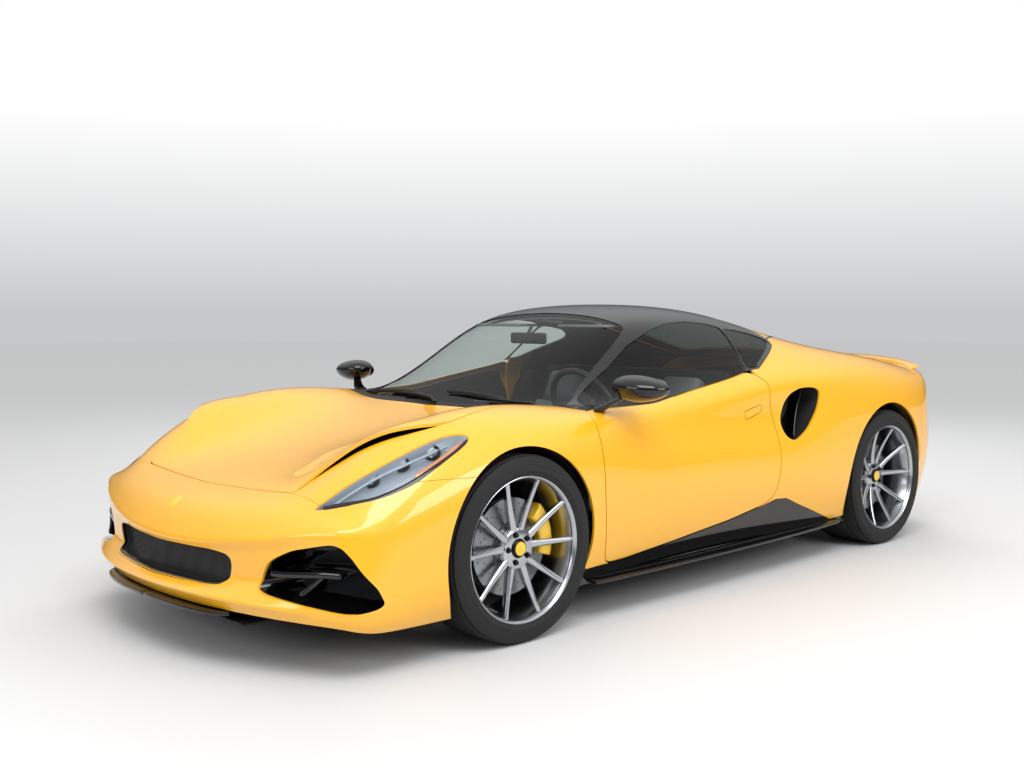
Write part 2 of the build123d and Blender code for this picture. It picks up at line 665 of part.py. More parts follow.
COWL_PANEL, BONNET_PIVOT = cowl()
ARMS = hinge_arms()
ARM_SPACE = [block((DOOR_AXIS[0] - 140, DOOR_AXIS[1] - 40, z - 2), (DOOR_AXIS[0] + 10, DOOR_AXIS[1] + 11, z + 24)) for z in (400, 640)]
PIN_SPACE = [rod((*DOOR_AXIS, z - 19), (*DOOR_AXIS, z + 41), HINGE_PIN_R + RUNNING) for z in (400, 640)]

save("front_bumper", front_bumper())
save_both("fender", fender() + BONNET_PIVOT)
save("headlamps", pair(headlamp()))
save("bonnet", bonnet())
save("cowl", COWL_PANEL)
save("windshield", windshield())
save("roof", roof() + lid_hinges())
save("quarter_glass", pair(quarter_glass()))
save_both("quarter", quarter())
save_both("door", without(door(), *ARM_SPACE, *PIN_SPACE))
save_both("door_glass", DOOR_PANE)
save_both("mirror", mirror_shell() - BODY_OUT - CABIN_OUT)
save("side_skirts", pair(side_skirt()))
save("tailgate", tailgate())
save("rear_glass", rear_glass())
save("rear_bumper", rear_bumper())
save("tail_lamps", pair(TAIL_SHELL & lamp_region(SEAM)))
save("diffuser", diffuser())
save("tub", without(tub() + ARMS[0] + ARMS[1] + right_of(ARMS[0]) + right_of(ARMS[1])))
for axle_name in AXLES:
    save_both(f"tyre_{axle_name}", tyre(axle_name))
    save_both(f"rim_{axle_name}", rim(axle_name))
    save_both(f"disc_{axle_name}", brake_disc(axle_name))
save_both("knuckle", upright("front"))
save_both("caliper_front", caliper("front"))
save("rear_uprights", pair(upright("rear")))
save("rear_calipers", pair(caliper("rear")))
ARM_SOLIDS = suspension("front") + suspension("rear")
save("suspension_arms", Compound([s for arm in ARM_SOLIDS for s in pair(arm).solids()]))
save_both("seat", seat())
save("dashboard", dashboard())
save("steering_wheel", steering_wheel())
save("engine", engine())
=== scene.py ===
"""Two-seat mid-engined coupe: paint, glass, lamps, wheels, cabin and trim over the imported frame.

Lengths in the tables are millimetres in the frame's axes (+X the car's left, +Y its tail, +Z up) and
become metres where a mesh is made. Left-hand pieces are shaped first and mirrored to the right.
"""
import math

import bmesh
import bpy
from mathutils import Matrix, Vector
from mathutils.bvhtree import BVHTree
from mathutils.interpolate import poly_3d_calc


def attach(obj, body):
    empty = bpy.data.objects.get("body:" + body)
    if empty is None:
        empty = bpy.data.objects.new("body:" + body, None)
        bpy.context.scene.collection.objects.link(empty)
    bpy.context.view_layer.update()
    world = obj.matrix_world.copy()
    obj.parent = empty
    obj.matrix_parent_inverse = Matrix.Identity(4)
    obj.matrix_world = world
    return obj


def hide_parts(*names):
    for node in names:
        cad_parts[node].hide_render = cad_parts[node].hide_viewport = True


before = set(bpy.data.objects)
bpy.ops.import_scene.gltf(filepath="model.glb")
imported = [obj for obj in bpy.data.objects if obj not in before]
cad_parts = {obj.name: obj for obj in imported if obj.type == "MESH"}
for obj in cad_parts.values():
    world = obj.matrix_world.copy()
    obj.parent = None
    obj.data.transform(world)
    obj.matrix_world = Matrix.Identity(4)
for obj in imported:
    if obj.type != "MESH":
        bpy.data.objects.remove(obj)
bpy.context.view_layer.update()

MM = 0.001
SIDES = {"left": 1, "right": -1}
# axle: its y, and its height, which is its tyres' radius
AXLES = {"front": (-1195.5, 340.0), "rear": (1379.5, 343.0)}


# ---------------------------------------------------------------- body cage
# One row across the car each: y at the centre, how far the row curves back at BOW_X, centre z, then
# (x, z) of the bonnet's crown, its rib or the roof's edge, the drip, the glass's middle, the crest or
# belt and the shoulder, and down the side (x, z) of the hollow, waist, lower door, rocker and its foot.
CAGE = [
    (-2092, 165, 516, (190, 517), (350, 518), (480, 520), (585, 520), (680, 515), (775, 512),
     (845, 500), (843, 462), (872, 340), (892, 222), (862, 188)),
    (-1990, 110, 549, (195, 550), (360, 553), (500, 558), (600, 560), (690, 556), (805, 525),
     (868, 500), (866, 462), (888, 340), (902, 205), (872, 165)),
    (-1880, 60, 580, (200, 581), (370, 588), (515, 606), (605, 622), (690, 622), (822, 570),
     (882, 500), (888, 455), (902, 340), (912, 195), (876, 150)),
    (-1740, 25, 610, (200, 613), (375, 630), (520, 672), (602, 702), (692, 708), (838, 640),
     (902, 540), (912, 455), (916, 340), (918, 200), (876, 145)),
    (-1570, 0, 646, (200, 654), (380, 684), (522, 745), (604, 776), (698, 786), (850, 712),
     (922, 600), (936, 480), (930, 340), (922, 215), (874, 142)),
    (-1380, 0, 684, (200, 693), (385, 724), (525, 787), (606, 822), (702, 836), (862, 764),
     (932, 665), (946, 540), (938, 370), (924, 240), (872, 140)),
    (-1190, 20, 722, (205, 730), (390, 756), (530, 812), (610, 842), (706, 852), (870, 785),
     (932, 700), (946, 590), (938, 400), (922, 260), (868, 140)),
    (-1010, 90, 758, (205, 763), (400, 778), (545, 812), (625, 832), (712, 840), (868, 782),
     (915, 700), (932, 590), (922, 400), (906, 270), (858, 140)),
    (-900, 190, 782, (210, 784), (420, 788), (575, 800), (650, 812), (728, 820), (862, 782),
     (896, 690), (920, 570), (908, 400), (892, 278), (850, 140)),
    (-845, 205, 822, (210, 820), (420, 812), (590, 802), (672, 806), (748, 808), (860, 786),
     (882, 690), (912, 560), (900, 400), (882, 282), (842, 140)),
    (-550, 160, 1005, (205, 999), (428, 972), (592, 915), (690, 864), (772, 826), (862, 794),
     (866, 700), (906, 550), (896, 400), (874, 285), (832, 140)),
    (-215, 100, 1190, (210, 1186), (442, 1168), (578, 1118), (690, 988), (790, 862), (870, 812),
     (864, 710), (904, 550), (896, 400), (872, 290), (830, 140)),
    (110, 30, 1234, (215, 1230), (445, 1210), (582, 1155), (694, 1024), (800, 892), (880, 836),
     (864, 728), (906, 550), (900, 400), (876, 295), (832, 142)),
    (380, 0, 1219, (212, 1214), (438, 1194), (574, 1146), (692, 1038), (806, 926), (896, 862),
     (862, 742), (912, 560), (910, 410), (884, 300), (838, 144)),
    (560, 0, 1193, (210, 1187), (430, 1166), (562, 1126), (682, 1056), (802, 952), (908, 876),
     (872, 760), (922, 580), (924, 420), (896, 302), (846, 146)),
    (760, 0, 1150, (208, 1144), (420, 1124), (548, 1094), (666, 1056), (792, 980), (915, 888),
     (918, 790), (938, 600), (938, 430), (912, 305), (856, 148)),
    (1050, 0, 1080, (202, 1074), (400, 1054), (525, 1034), (645, 1024), (778, 994), (905, 900),
     (938, 790), (950, 620), (948, 440), (930, 310), (870, 150)),
    (1380, 0, 1002, (195, 996), (375, 978), (495, 962), (620, 968), (765, 974), (895, 895),
     (940, 785), (950, 630), (946, 460), (936, 320), (878, 155)),
    (1700, -20, 938, (190, 935), (370, 925), (490, 920), (610, 928), (745, 930), (868, 868),
     (922, 770), (932, 620), (926, 470), (918, 330), (870, 165)),
    (1950, -70, 918, (185, 916), (360, 912), (480, 908), (595, 904), (715, 895), (838, 848),
     (888, 760), (902, 620), (896, 470), (884, 345), (850, 200)),
    (2195, -210, 944, (185, 943), (350, 938), (470, 928), (580, 912), (690, 892), (790, 862),
     (812, 812), (800, 770), (850, 600), (840, 420), (800, 280)),
]
# down the nose, below the first row: y and z at the centre; the corner is that row's side
NOSE = [(-2158, 398), (-2138, 368), (-2122, 280), (-2218, 250), (-2172, 200)]
# down the tail, below the last row
TAIL = [(2150, 905), (2160, 770), (2216, 610), (2206, 420), (2110, 290)]
BOW_X = 850
CENTRE, SIDE = 2, 9                         # where a row's points start: across the top, down the side
CAP_COLUMNS = 6
NOSE_CREASE = {0: 0.8, 3: 0.6}              # how sharp the nose stays at its upper edge and its lip


def soft_cage():
    """Cage of the whole body: one grid over bonnet, cabin and deck, with its rim pulled down all round."""
    bm = bmesh.new()
    crease = bm.edges.layers.float.new("crease_edge")
    count = len(CAGE)
    bmesh.ops.create_grid(bm, x_segments=2 * CAP_COLUMNS, y_segments=count - 1, size=1)
    rim = {}
    for vert in bm.verts:
        column = round(vert.co.x * CAP_COLUMNS)
        row = round((vert.co.y + 1) / 2 * (count - 1))
        rim[vert] = (row, column)
        y, bow, centre_z = CAGE[row][:3]
        x, z = CAGE[row][CENTRE + abs(column)] if column else (0, centre_z)
        vert.co = Vector((math.copysign(x, column), y + bow * (x / BOW_X) ** 2, z)) * MM
    for level in range(len(NOSE)):
        edges = [e for e in bm.edges if e.is_boundary]
        pulled = bmesh.ops.extrude_edge_only(bm, edges=edges)["geom"]
        old = {tuple(round(c, 6) for c in v.co): key for v, key in rim.items()}
        rim = {vert: old[tuple(round(c, 6) for c in vert.co)] for vert in only(bmesh.types.BMVert, pulled)}
        for vert, (row, column) in rim.items():
            vert.co = rim_point(level, row, column)
        if level in NOSE_CREASE:
            nose = {vert for vert, (row, column) in rim.items() if row == 0 and abs(column) < CAP_COLUMNS}
            for edge in bm.edges:
                if nose.issuperset(edge.verts):
                    edge[crease] = NOSE_CREASE[level]
    bmesh.ops.recalc_face_normals(bm, faces=bm.faces)
    return bm


def rim_point(level, row, column):
    """A point of the body's side, nose or tail, on one level below the cap's edge."""
    side = math.copysign(1, column)
    if abs(column) == CAP_COLUMNS:
        y, bow = CAGE[row][:2]
        edge_x = CAGE[row][CENTRE + CAP_COLUMNS][0]
        x, z = CAGE[row][SIDE + level]
        return Vector((side * x, y + bow * (edge_x / BOW_X) ** 2, z)) * MM
    centre_y, centre_z = (NOSE if row == 0 else TAIL)[level]
    corner = rim_point(level, row, CAP_COLUMNS) / MM
    share = CAGE[row][CENTRE + abs(column)][0] / CAGE[row][CENTRE + CAP_COLUMNS][0] if column else 0
    y = centre_y + (corner.y - centre_y) * share ** 2
    z = centre_z + (corner.z - centre_z) * share ** 2
    return Vector((side * corner.x * share, y, z)) * MM


# ---------------------------------------------------------------- materials
def srgb(code):
    """Linear colour of an sRGB hex code."""
    values = [int(code[i:i + 2], 16) / 255 for i in (0, 2, 4)]
    return tuple(v / 12.92 if v <= 0.04045 else ((v + 0.055) / 1.055) ** 2.4 for v in values) + (1.0,)


def add(tree, kind, links=None, **settings):
    """A node with its settings, and a link or a constant for each named socket."""
    node = tree.nodes.new(kind)
    for name, value in settings.items():
        setattr(node, name, value)
    for socket, source in (links or {}).items():
        if isinstance(source, bpy.types.NodeSocket):
            tree.links.new(source, node.inputs[socket])
        else:
            node.inputs[socket].default_value = source
    return node


def blank(name):
    """A node material with nothing in it yet."""
    material = bpy.data.materials.new(name)
    material.use_nodes = True
    material.node_tree.nodes.clear()
    return material, material.node_tree


def opaque(name, colour, rough, metal=0.0, coat=0.0, grain=0.0, grain_mm=1.0, mottle=0.0,
           mottle_mm=60.0, emit=None, shine=0.5):
    """One solid finish. Grain is the height of its relief in mm, mottle how far its shade wanders."""
    material, tree = blank(name)
    place = add(tree, "ShaderNodeTexCoord").outputs["Object"]
    base = srgb(colour)
    shade = base
    if mottle:
        cloud = add(tree, "ShaderNodeTexNoise", {"Vector": place, "Scale": 1000 / mottle_mm, "Detail": 3.0})
        dark = tuple(v * (1 - mottle) for v in base[:3]) + (1.0,)
        shade = add(tree, "ShaderNodeMix", {0: cloud.outputs["Fac"], 6: dark, 7: base},
                    data_type="RGBA").outputs[2]
    sockets = {"Base Color": shade, "Roughness": rough, "Metallic": metal, "Coat Weight": coat,
               "Coat Roughness": 0.02, "Specular IOR Level": shine}
    if grain:
        noise = add(tree, "ShaderNodeTexNoise", {"Vector": place, "Scale": 1000 / grain_mm, "Detail": 4.0})
        bump = add(tree, "ShaderNodeBump",
                   {"Height": noise.outputs["Fac"], "Strength": 0.6, "Distance": grain * MM})
        sockets["Normal"] = bump.outputs["Normal"]
    if emit:
        sockets["Emission Color"] = srgb(emit)
        sockets["Emission Strength"] = 0.5
    shader = add(tree, "ShaderNodeBsdfPrincipled", sockets)
    add(tree, "ShaderNodeOutputMaterial", {"Surface": shader.outputs["BSDF"]})
    return material


def see_through(name, tint, mirror_share=0.9):
    """Thin glass: it tints what lies behind it and mirrors more at a flat angle."""
    material, tree = blank(name)
    clear = add(tree, "ShaderNodeBsdfTransparent", {"Color": srgb(tint)})
    gloss = add(tree, "ShaderNodeBsdfGlossy", {"Color": (1, 1, 1, 1), "Roughness": 0.0})
    fresnel = add(tree, "ShaderNodeFresnel", {"IOR": 1.5})
    back = add(tree, "ShaderNodeNewGeometry").outputs["Backfacing"]
    outer = add(tree, "ShaderNodeMath", {0: mirror_share, 1: back}, operation="SUBTRACT", use_clamp=True)
    share = add(tree, "ShaderNodeMath", {0: fresnel.outputs["Fac"], 1: outer.outputs[0]},
                operation="MULTIPLY")
    mixed = add(tree, "ShaderNodeMixShader",
                {0: share.outputs[0], 1: clear.outputs[0], 2: gloss.outputs[0]})
    add(tree, "ShaderNodeOutputMaterial", {"Surface": mixed.outputs[0]})
    return material


def colour_steps(tree, factor, steps):
    """Colours that blend from one step to the next, each step a place from 0 to 1 and its hex code."""
    ramp = add(tree, "ShaderNodeValToRGB", {"Fac": factor})
    elements = ramp.color_ramp.elements
    for _ in steps[2:]:
        elements.new(0.5)
    for element, (position, colour) in zip(elements, steps):
        element.position, element.color = position, srgb(colour)
    return ramp.outputs["Color"]


def meshed(name, cell, edge, cell_mm):
    """Fine mesh: round cells of one shade, each edged in another."""
    material, tree = blank(name)
    place = add(tree, "ShaderNodeTexCoord").outputs["Object"]
    cells = add(tree, "ShaderNodeTexVoronoi", {"Vector": place, "Scale": 1000 / cell_mm, "Randomness": 0.0},
                feature="F1")
    shade = colour_steps(tree, cells.outputs["Distance"], [(0.38, cell), (0.48, edge)])
    shader = add(tree, "ShaderNodeBsdfPrincipled", {"Base Color": shade, "Roughness": 0.6})
    add(tree, "ShaderNodeOutputMaterial", {"Surface": shader.outputs["BSDF"]})
    return material


def make_materials():
    """Every finish by the slot or trim name that pieces ask for."""
    return {
        # solid yellow under clear coat, with the faint orange peel of sprayed paint
        "yellow_paint": opaque("yellow_paint", "FAB511", 0.42, coat=1.0, grain=0.004, grain_mm=9,
                               mottle=0.02),
        # gloss black paint and piano-black trim
        "black_paint": opaque("black_paint", "050506", 0.12, coat=0.5, shine=0.35),
        # grained moulded plastic
        "black_plastic": opaque("black_plastic", "151516", 0.55, grain=0.12, grain_mm=1.4),
        # satin pressed composite of floor, wells and bays
        "black_composite": opaque("black_composite", "0D0D0E", 0.7, grain=0.1, grain_mm=3,
                                  mottle=0.3),
        # laminated glass, lightly tinted
        "window_glass": see_through("window_glass", "F1F5F3", 0.5),
        # darker privacy glass over the engine bay
        "rear_glass": see_through("rear_glass", "9AA3A2"),
        # hard-coated clear polycarbonate
        "lamp_glass": see_through("lamp_glass", "F2F5F6", 0.4),
        # red lens moulding
        "red_lens": opaque("red_lens", "8C0A0E", 0.12, coat=1.0, emit="5A0508"),
        # amber reflector
        "amber_lens": opaque("amber_lens", "E08A5A", 0.15, coat=1.0),
        # lacquered cast alloy of the road wheels
        "silver_alloy": opaque("silver_alloy", "B6B9BD", 0.24, metal=1.0, coat=0.4, mottle=0.03,
                               mottle_mm=30),
        # rough sand-cast alloy
        "cast_alloy": opaque("cast_alloy", "8D9092", 0.5, metal=1.0, grain=0.15, grain_mm=3),
        # turned iron of the brake discs
        "brake_iron": opaque("brake_iron", "8A8C8E", 0.34, metal=1.0, grain=0.02, grain_mm=1.5),
        # enamel on the brake calipers
        "yellow_caliper": opaque("yellow_caliper", "F2C21A", 0.35, coat=0.8),
        # tyre rubber
        "tyre": opaque("tyre", "171717", 0.78, grain=0.1, grain_mm=1.6, mottle=0.25,
                       mottle_mm=25),
        # dark grained hide
        "seat_leather": opaque("seat_leather", "1B1B1D", 0.5, grain=0.12, grain_mm=2.2,
                               mottle=0.15, mottle_mm=40),
        # light grey hide and cloth of the upper cabin
        "grey_leather": opaque("grey_leather", "77787C", 0.55, grain=0.12, grain_mm=2.2,
                               mottle=0.1, mottle_mm=50),
        # tufted carpet
        "carpet": opaque("carpet", "1C1C1E", 0.95, grain=0.8, grain_mm=1.8),
        # vacuum-metallised lamp bowls and mirror glass
        "bright_metal": opaque("bright_metal", "D5D8DC", 0.08, metal=1.0),
        # satin silver of the lamp's inner mouldings, lightened to a pale lavender grey that is partly painted
        # reflection of the sky on the lamp's cover
        "lamp_silver_sky_sheen": opaque("lamp_silver_sky_sheen", "B4B8C2", 0.32, metal=0.4),
        # polished stainless steel of the exhaust tips
        "steel": opaque("steel", "B9BBBE", 0.18, metal=1.0),
        # zinc-black fasteners, and the painted shade in the brake discs' drilled holes
        "dark_steel_and_hole_shade": opaque("dark_steel_and_hole_shade", "2E2F31", 0.35, metal=1.0),
        # dark instrument and screen glass
        "screen_glass": opaque("screen_glass", "08090C", 0.06, coat=1.0),
        # expanded metal mesh behind the air openings, its cells a little paler than their edges
        "mesh": meshed("mesh", "1D1D1E", "020202", 9),
    }


MATERIALS = make_materials()


def dress(obj, finish):
    """Gives the piece its finish."""
    obj.data.materials.clear()
    obj.data.materials.append(MATERIALS[finish])
    return obj


def place_piece(name, obj, finish, body="shell", nodes=()):
    """Names and finishes a piece, lets it ride on its body and stand for its nodes."""
    obj.name = name
    dress(obj, finish)
    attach(obj, body)
    if nodes:
        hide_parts(*nodes)
    return obj


# ---------------------------------------------------------------- mesh helpers
def make_object(bm):
    """The bmesh as an object of the scene. It gets its name when it is placed."""
    mesh = bpy.data.meshes.new("piece")
    bm.to_mesh(mesh)
    bm.free()
    obj = bpy.data.objects.new("piece", mesh)
    bpy.context.scene.collection.objects.link(obj)
    return obj


def duplicate(source):
    """A copy of the object with a mesh of its own."""
    obj = bpy.data.objects.new("piece", source.data.copy())
    bpy.context.scene.collection.objects.link(obj)
    return obj


def drop(*objects):
    for obj in objects:
        bpy.data.objects.remove(obj)


def evaluated(obj):
    """The object's mesh with its modifiers applied."""
    graph = bpy.context.evaluated_depsgraph_get()
    return bpy.data.meshes.new_from_object(obj.evaluated_get(graph))


def bake(obj):
    """Turns the object's modifiers into plain mesh."""
    mesh = evaluated(obj)
    obj.modifiers.clear()
    obj.data = mesh
    return obj


def smooth(obj, angle=35):
    """Smooth shading over every edge that bends by less than the angle."""
    for polygon in obj.data.polygons:
        polygon.use_smooth = True
    obj.data.set_sharp_from_angle(angle=math.radians(angle))
    return obj


def rounded(obj, width, segments, angle=30):
    """Rounds off every edge that bends by more than the angle."""
    mod = obj.modifiers.new("round", "BEVEL")
    mod.width, mod.segments = width * MM, segments
    mod.limit_method, mod.angle_limit = "ANGLE", math.radians(angle)
    return bake(obj)


def subdivided(obj, levels):
    mod = obj.modifiers.new("smooth", "SUBSURF")
    mod.levels = mod.render_levels = levels
    return bake(obj)


def moved(obj, matrix):
    """Moves the mesh itself, so the object stays at the origin."""
    obj.data.transform(matrix)
    obj.data.update()
    return obj


def move_by(x, y, z):
    """Matrix of a move in mm."""
    return Matrix.Translation(Vector((x, y, z)) * MM)


def turn_by(degrees, axis):
    """Matrix of a turn round an axis through the origin."""
    return Matrix.Rotation(math.radians(degrees), 4, axis)


def joined(objects):
    bm = bmesh.new()
    for obj in objects:
        bm.from_mesh(obj.data)
    drop(*objects)
    return make_object(bm)


def mirror_copy(obj):
    """The piece's right-hand copy."""
    bm = bmesh.new()
    bm.from_mesh(obj.data)
    bmesh.ops.scale(bm, vec=(-1, 1, 1), verts=bm.verts)
    bmesh.ops.reverse_faces(bm, faces=bm.faces)
    return make_object(bm)


def only(kind, geometry):
    """The vertices, edges or faces among an operator's results."""
    return [element for element in geometry if isinstance(element, kind)]


# ---------------------------------------------------------------- outlines: helpers
def circle(count, radius, y=0.0, z=0.0):
    """Points of a full circle round y and z."""
    turns = [2 * math.pi * i / count for i in range(count)]
    return [(y + radius * math.cos(t), z + radius * math.sin(t)) for t in turns]


def softened(outline, reach=40):
    """The outline with its corners cut three times, which leaves smooth bends and straight runs."""
    points = [Vector(p) for p in outline]
    for most in (0.33, 0.25, 0.25):
        fresh = []
        for before, point, after in zip(points[-1:] + points[:-1], points, points[1:] + points[:1]):
            for other in (before, after):
                run = (other - point).length
                fresh.append(point + (other - point) * (min(reach, run * most) / max(run, 1e-6)))
        points = fresh
    return [tuple(p) for p in points]


def fine(points, steps=4):
    """Points of a smooth curve through the given ones."""
    rows = [Vector(p) for p in points]
    made = []
    for p0, p1, p2, p3 in zip(rows[:1] + rows, rows, rows[1:], rows[2:] + rows[-1:]):
        for k in range(steps):
            t = k / steps
            made.append(0.5 * (2 * p1 + (p2 - p0) * t + (2 * p0 - 5 * p1 + 4 * p2 - p3) * t ** 2
                               + (3 * p1 - p0 - 3 * p2 + p3) * t ** 3))
    return made + rows[-1:]


def mirrored(half):
    """Closed outline from its left half, given from the centre line round to the centre line."""
    return list(half) + [(-x, other) for x, other in reversed(half) if x]


def both_sides(outline):
    """The left-hand outline, and the same on the right."""
    return [outline, [(-x, other) for x, other in outline]]


def grown(outline, by):
    """The outline with every edge moved outwards."""
    count = len(outline)
    area = sum(outline[i - 1][0] * outline[i][1] - outline[i][0] * outline[i - 1][1] for i in range(count))
    turning = math.copysign(1.0, area)
    made = []
    for i, (x, y) in enumerate(outline):
        before, after = outline[i - 1], outline[(i + 1) % count]
        n1 = Vector((turning * (y - before[1]), turning * (before[0] - x))).normalized()
        n2 = Vector((turning * (after[1] - y), turning * (x - after[0]))).normalized()
        step = (n1 + n2) * (by / max(0.3, 1 + n1.dot(n2)))
        made.append((x + step.x, y + step.y))
    return made


def inserted(pair, axis, value):
    """A point in space from its two other coordinates and its place along the axis."""
    corner = list(pair)
    corner.insert(axis, value)
    return Vector(corner)


# ---------------------------------------------------------------- cutters
FAR_X, FAR_Y, FAR_Z = 1200, 2400, 1500      # beyond the body on every side


def prism(outline, axis, low, high):
    """Closed prism on an outline given in the other two axes, from low to high along the axis."""
    bm = bmesh.new()
    face = bm.faces.new([bm.verts.new(inserted(pair, axis, low) * MM) for pair in outline])
    pulled = bmesh.ops.extrude_face_region(bm, geom=[face])["geom"]
    step = Vector((0, 0, 0))
    step[axis] = (high - low) * MM
    bmesh.ops.translate(bm, verts=only(bmesh.types.BMVert, pulled), vec=step)
    bmesh.ops.recalc_face_normals(bm, faces=bm.faces)
    return make_object(bm)


def side_view(outline, low=-FAR_X, high=FAR_X):
    return prism(outline, 0, low, high)


def front_view(outline, low, high):
    return prism(outline, 1, low, high)


def top_view(outline, low=300):
    return prism(outline, 2, low, FAR_Z)


def box_cutter(low, high):
    corners = [(low[0], low[1]), (high[0], low[1]), (high[0], high[1]), (low[0], high[1])]
    return prism(corners, 2, low[2], high[2])


def arch_drums(axles, sides=SIDES):
    """Round cutters for the wheel arches of the axles on the given sides."""
    drums = []
    for side in sides:
        low, high = sorted((SIDES[side] * 560, SIDES[side] * FAR_X))
        drums += [side_view(circle(96, ARCHES[axle], *AXLES[axle]), low, high) for axle in axles]
    return drums


def carved(base, keep=(), cut=(), solver="MANIFOLD"):
    """A copy of the base inside every keeper and outside every cutter, which are used up."""
    obj = duplicate(base)
    for operation, tools in (("INTERSECT", keep), ("DIFFERENCE", cut)):
        for tool in tools:
            mod = obj.modifiers.new("cut", "BOOLEAN")
            mod.operation, mod.object, mod.solver = operation, tool, solver
    bake(obj)
    drop(*keep, *cut)
    return obj


# ---------------------------------------------------------------- outlines
# Bonnet, lamps, vents, screen, cabin and rear lid are drawn from above, doors, side glass and intake from
# the side, and the openings of nose and tail from the front.
BONNET_EDGE = [(532, -1911), (538, -1852), (556, -1785), (598, -1712), (654, -1645), (704, -1570),
               (733, -1490), (744, -1410), (738, -1320), (716, -1200), (686, -1080), (662, -980),
               (650, -880), (648, -836)]
BONNET = softened(mirrored([(0, -1943), (231, -1930), (423, -1917)] + BONNET_EDGE
                           + [(400, -872), (0, -898)]), 14)
HEADLAMP = softened([(680, -1937), (702, -1868), (728, -1798), (755, -1725), (775, -1645), (786, -1570),
                     (794, -1500), (806, -1440), (826, -1400), (846, -1398), (862, -1450), (870, -1560),
                     (868, -1650), (856, -1714), (832, -1785), (800, -1832), (756, -1880), (708, -1922)], 20)
VENT = softened([(512, -1880), (540, -1858), (562, -1790), (604, -1716), (660, -1648), (710, -1572),
                 (740, -1490), (750, -1405), (716, -1400), (690, -1490), (655, -1560), (600, -1620),
                 (540, -1690), (500, -1780)], 20)
SCREEN = softened(mirrored([(0, -868), (200, -858), (400, -832), (540, -800), (634, -764), (648, -728),
                            (624, -650), (580, -570), (552, -440), (532, -300), (508, -204), (486, -180),
                            (262, -166), (0, -156)]), 14)
CABIN_PLAN = mirrored([(0, -906), (400, -880), (600, -848), (680, -828), (724, -810), (748, -790),
                       (766, -764), (786, -724), (824, -680), (860, -640), (870, 700), (0, 700)])
BUMPER_SIDE = [(-1190, 622), (-1570, 628), (-1662, 626), (-1760, 600), (-1860, 560), (-1916, 545),
               (-1916, 1400), (-2400, 1400), (-2400, 100), (-1190, 100)]
DOOR_SKIN = softened([(-724, 212), (-590, 212), (-285, 237), (92, 278), (330, 320), (402, 352), (418, 420),
                      (432, 515), (428, 600), (404, 704), (378, 800), (384, 850), (350, 900), (300, 916),
                      (268, 909), (156, 889), (-103, 851), (-348, 811), (-690, 800), (-742, 806),
                      (-772, 760), (-774, 660), (-768, 513), (-748, 361)], 22)
DOOR_GLASS = softened([(-676, 800), (-348, 815), (-103, 855), (156, 893), (268, 913), (304, 920),
                       (340, 1000), (376, 1112), (290, 1130), (153, 1141), (23, 1134), (-109, 1101),
                       (-254, 1040), (-407, 946), (-560, 866), (-650, 822)], 10)
DOOR_CARD = softened([(-715, 330), (-300, 345), (300, 372), (360, 430), (380, 560), (330, 780), (240, 880),
                      (-103, 838), (-348, 798), (-690, 785), (-730, 700)], 40)
QUARTER_GLASS = softened([(322, 931), (352, 998), (386, 1110), (480, 1101), (578, 1085), (652, 1058),
                          (656, 1040), (604, 1018), (487, 974), (404, 940)], 12)
ROOF_SIDE = [(-930, 760), (-930, 1400), (482, 1400), (482, 1150), (560, 1137), (632, 1116), (672, 1090),
             (680, 1064), (672, 1044), (656, 1030), (600, 1008), (487, 965), (400, 931), (330, 924),
             (268, 915), (156, 895), (-103, 857), (-348, 817), (-690, 806), (-742, 796)]
HEADLINER = softened(mirrored([(0, -150), (440, -160), (500, 0), (510, 300), (470, 470), (0, 480)]), 60)
INTAKE = softened([(452, 690), (488, 770), (530, 812), (600, 835), (680, 837), (736, 828), (754, 800),
                   (727, 730), (680, 675), (637, 635), (560, 594), (505, 604), (470, 640)], 16)
SKIRT_SIDE = [(-850, 100), (-850, 206), (-724, 206), (-590, 206), (-285, 231), (92, 272), (330, 314),
              (420, 334), (500, 330), (610, 288), (760, 235), (922, 176), (1040, 182), (1040, 100)]
GRILLE = softened(mirrored([(0, 266), (146, 268), (330, 270), (398, 276), (424, 350), (404, 378), (310, 386),
                            (0, 380)]), 14)
SIDE_OPENING = softened([(545, 290), (582, 374), (675, 420), (834, 457), (866, 417), (902, 305), (909, 226),
                         (850, 238), (698, 258), (577, 272)], 16)
LID_EDGE = [(425, 500), (452, 800), (475, 1000), (520, 1400), (548, 1700), (556, 1900)]
LID = softened(mirrored([(0, 488), (415, 488)] + LID_EDGE + [(520, 1960), (0, 1990)]), 20)
LID_GLASS = softened(mirrored([(0, 560), (330, 562), (352, 700), (372, 1000), (395, 1400), (380, 1425),
                               (0, 1440)]), 24)
REAR_PANEL = softened(mirrored([(0, 850), (560, 838), (760, 818), (812, 800), (806, 748), (700, 738),
                                (0, 745)]), 12)
DIFFUSER_OPENING = softened(mirrored([(0, 395), (470, 395), (560, 372), (640, 300), (660, 130),
                                      (0, 130)]), 30)
ARCHES = {"front": 372.0, "rear": 384.0}    # radius of the cut round each axle


# ---------------------------------------------------------------- the body's surface
SKIN = 10.0                                 # thickness of the painted panels
VENT_START, VENT_END = -1915, -1395
VENT_RISE, VENT_FADE = 30, 130              # height of the lifted edge, and how far in it dies away


def vent_rise(y):
    """How far the bonnet's outer edge stands up at a place along the car."""
    if not VENT_START < y < VENT_END:
        return 0
    share = (y - VENT_START) / (VENT_END - VENT_START)
    return VENT_RISE * math.sin(math.pi * share) ** 1.2


def bonnet_edge(y):
    """Half-width of the bonnet at a place along the car."""
    for (x0, y0), (x1, y1) in zip(BONNET_EDGE, BONNET_EDGE[1:]):
        if y0 <= y <= y1:
            return x0 + (x1 - x0) * (y - y0) / (y1 - y0)
    return 0


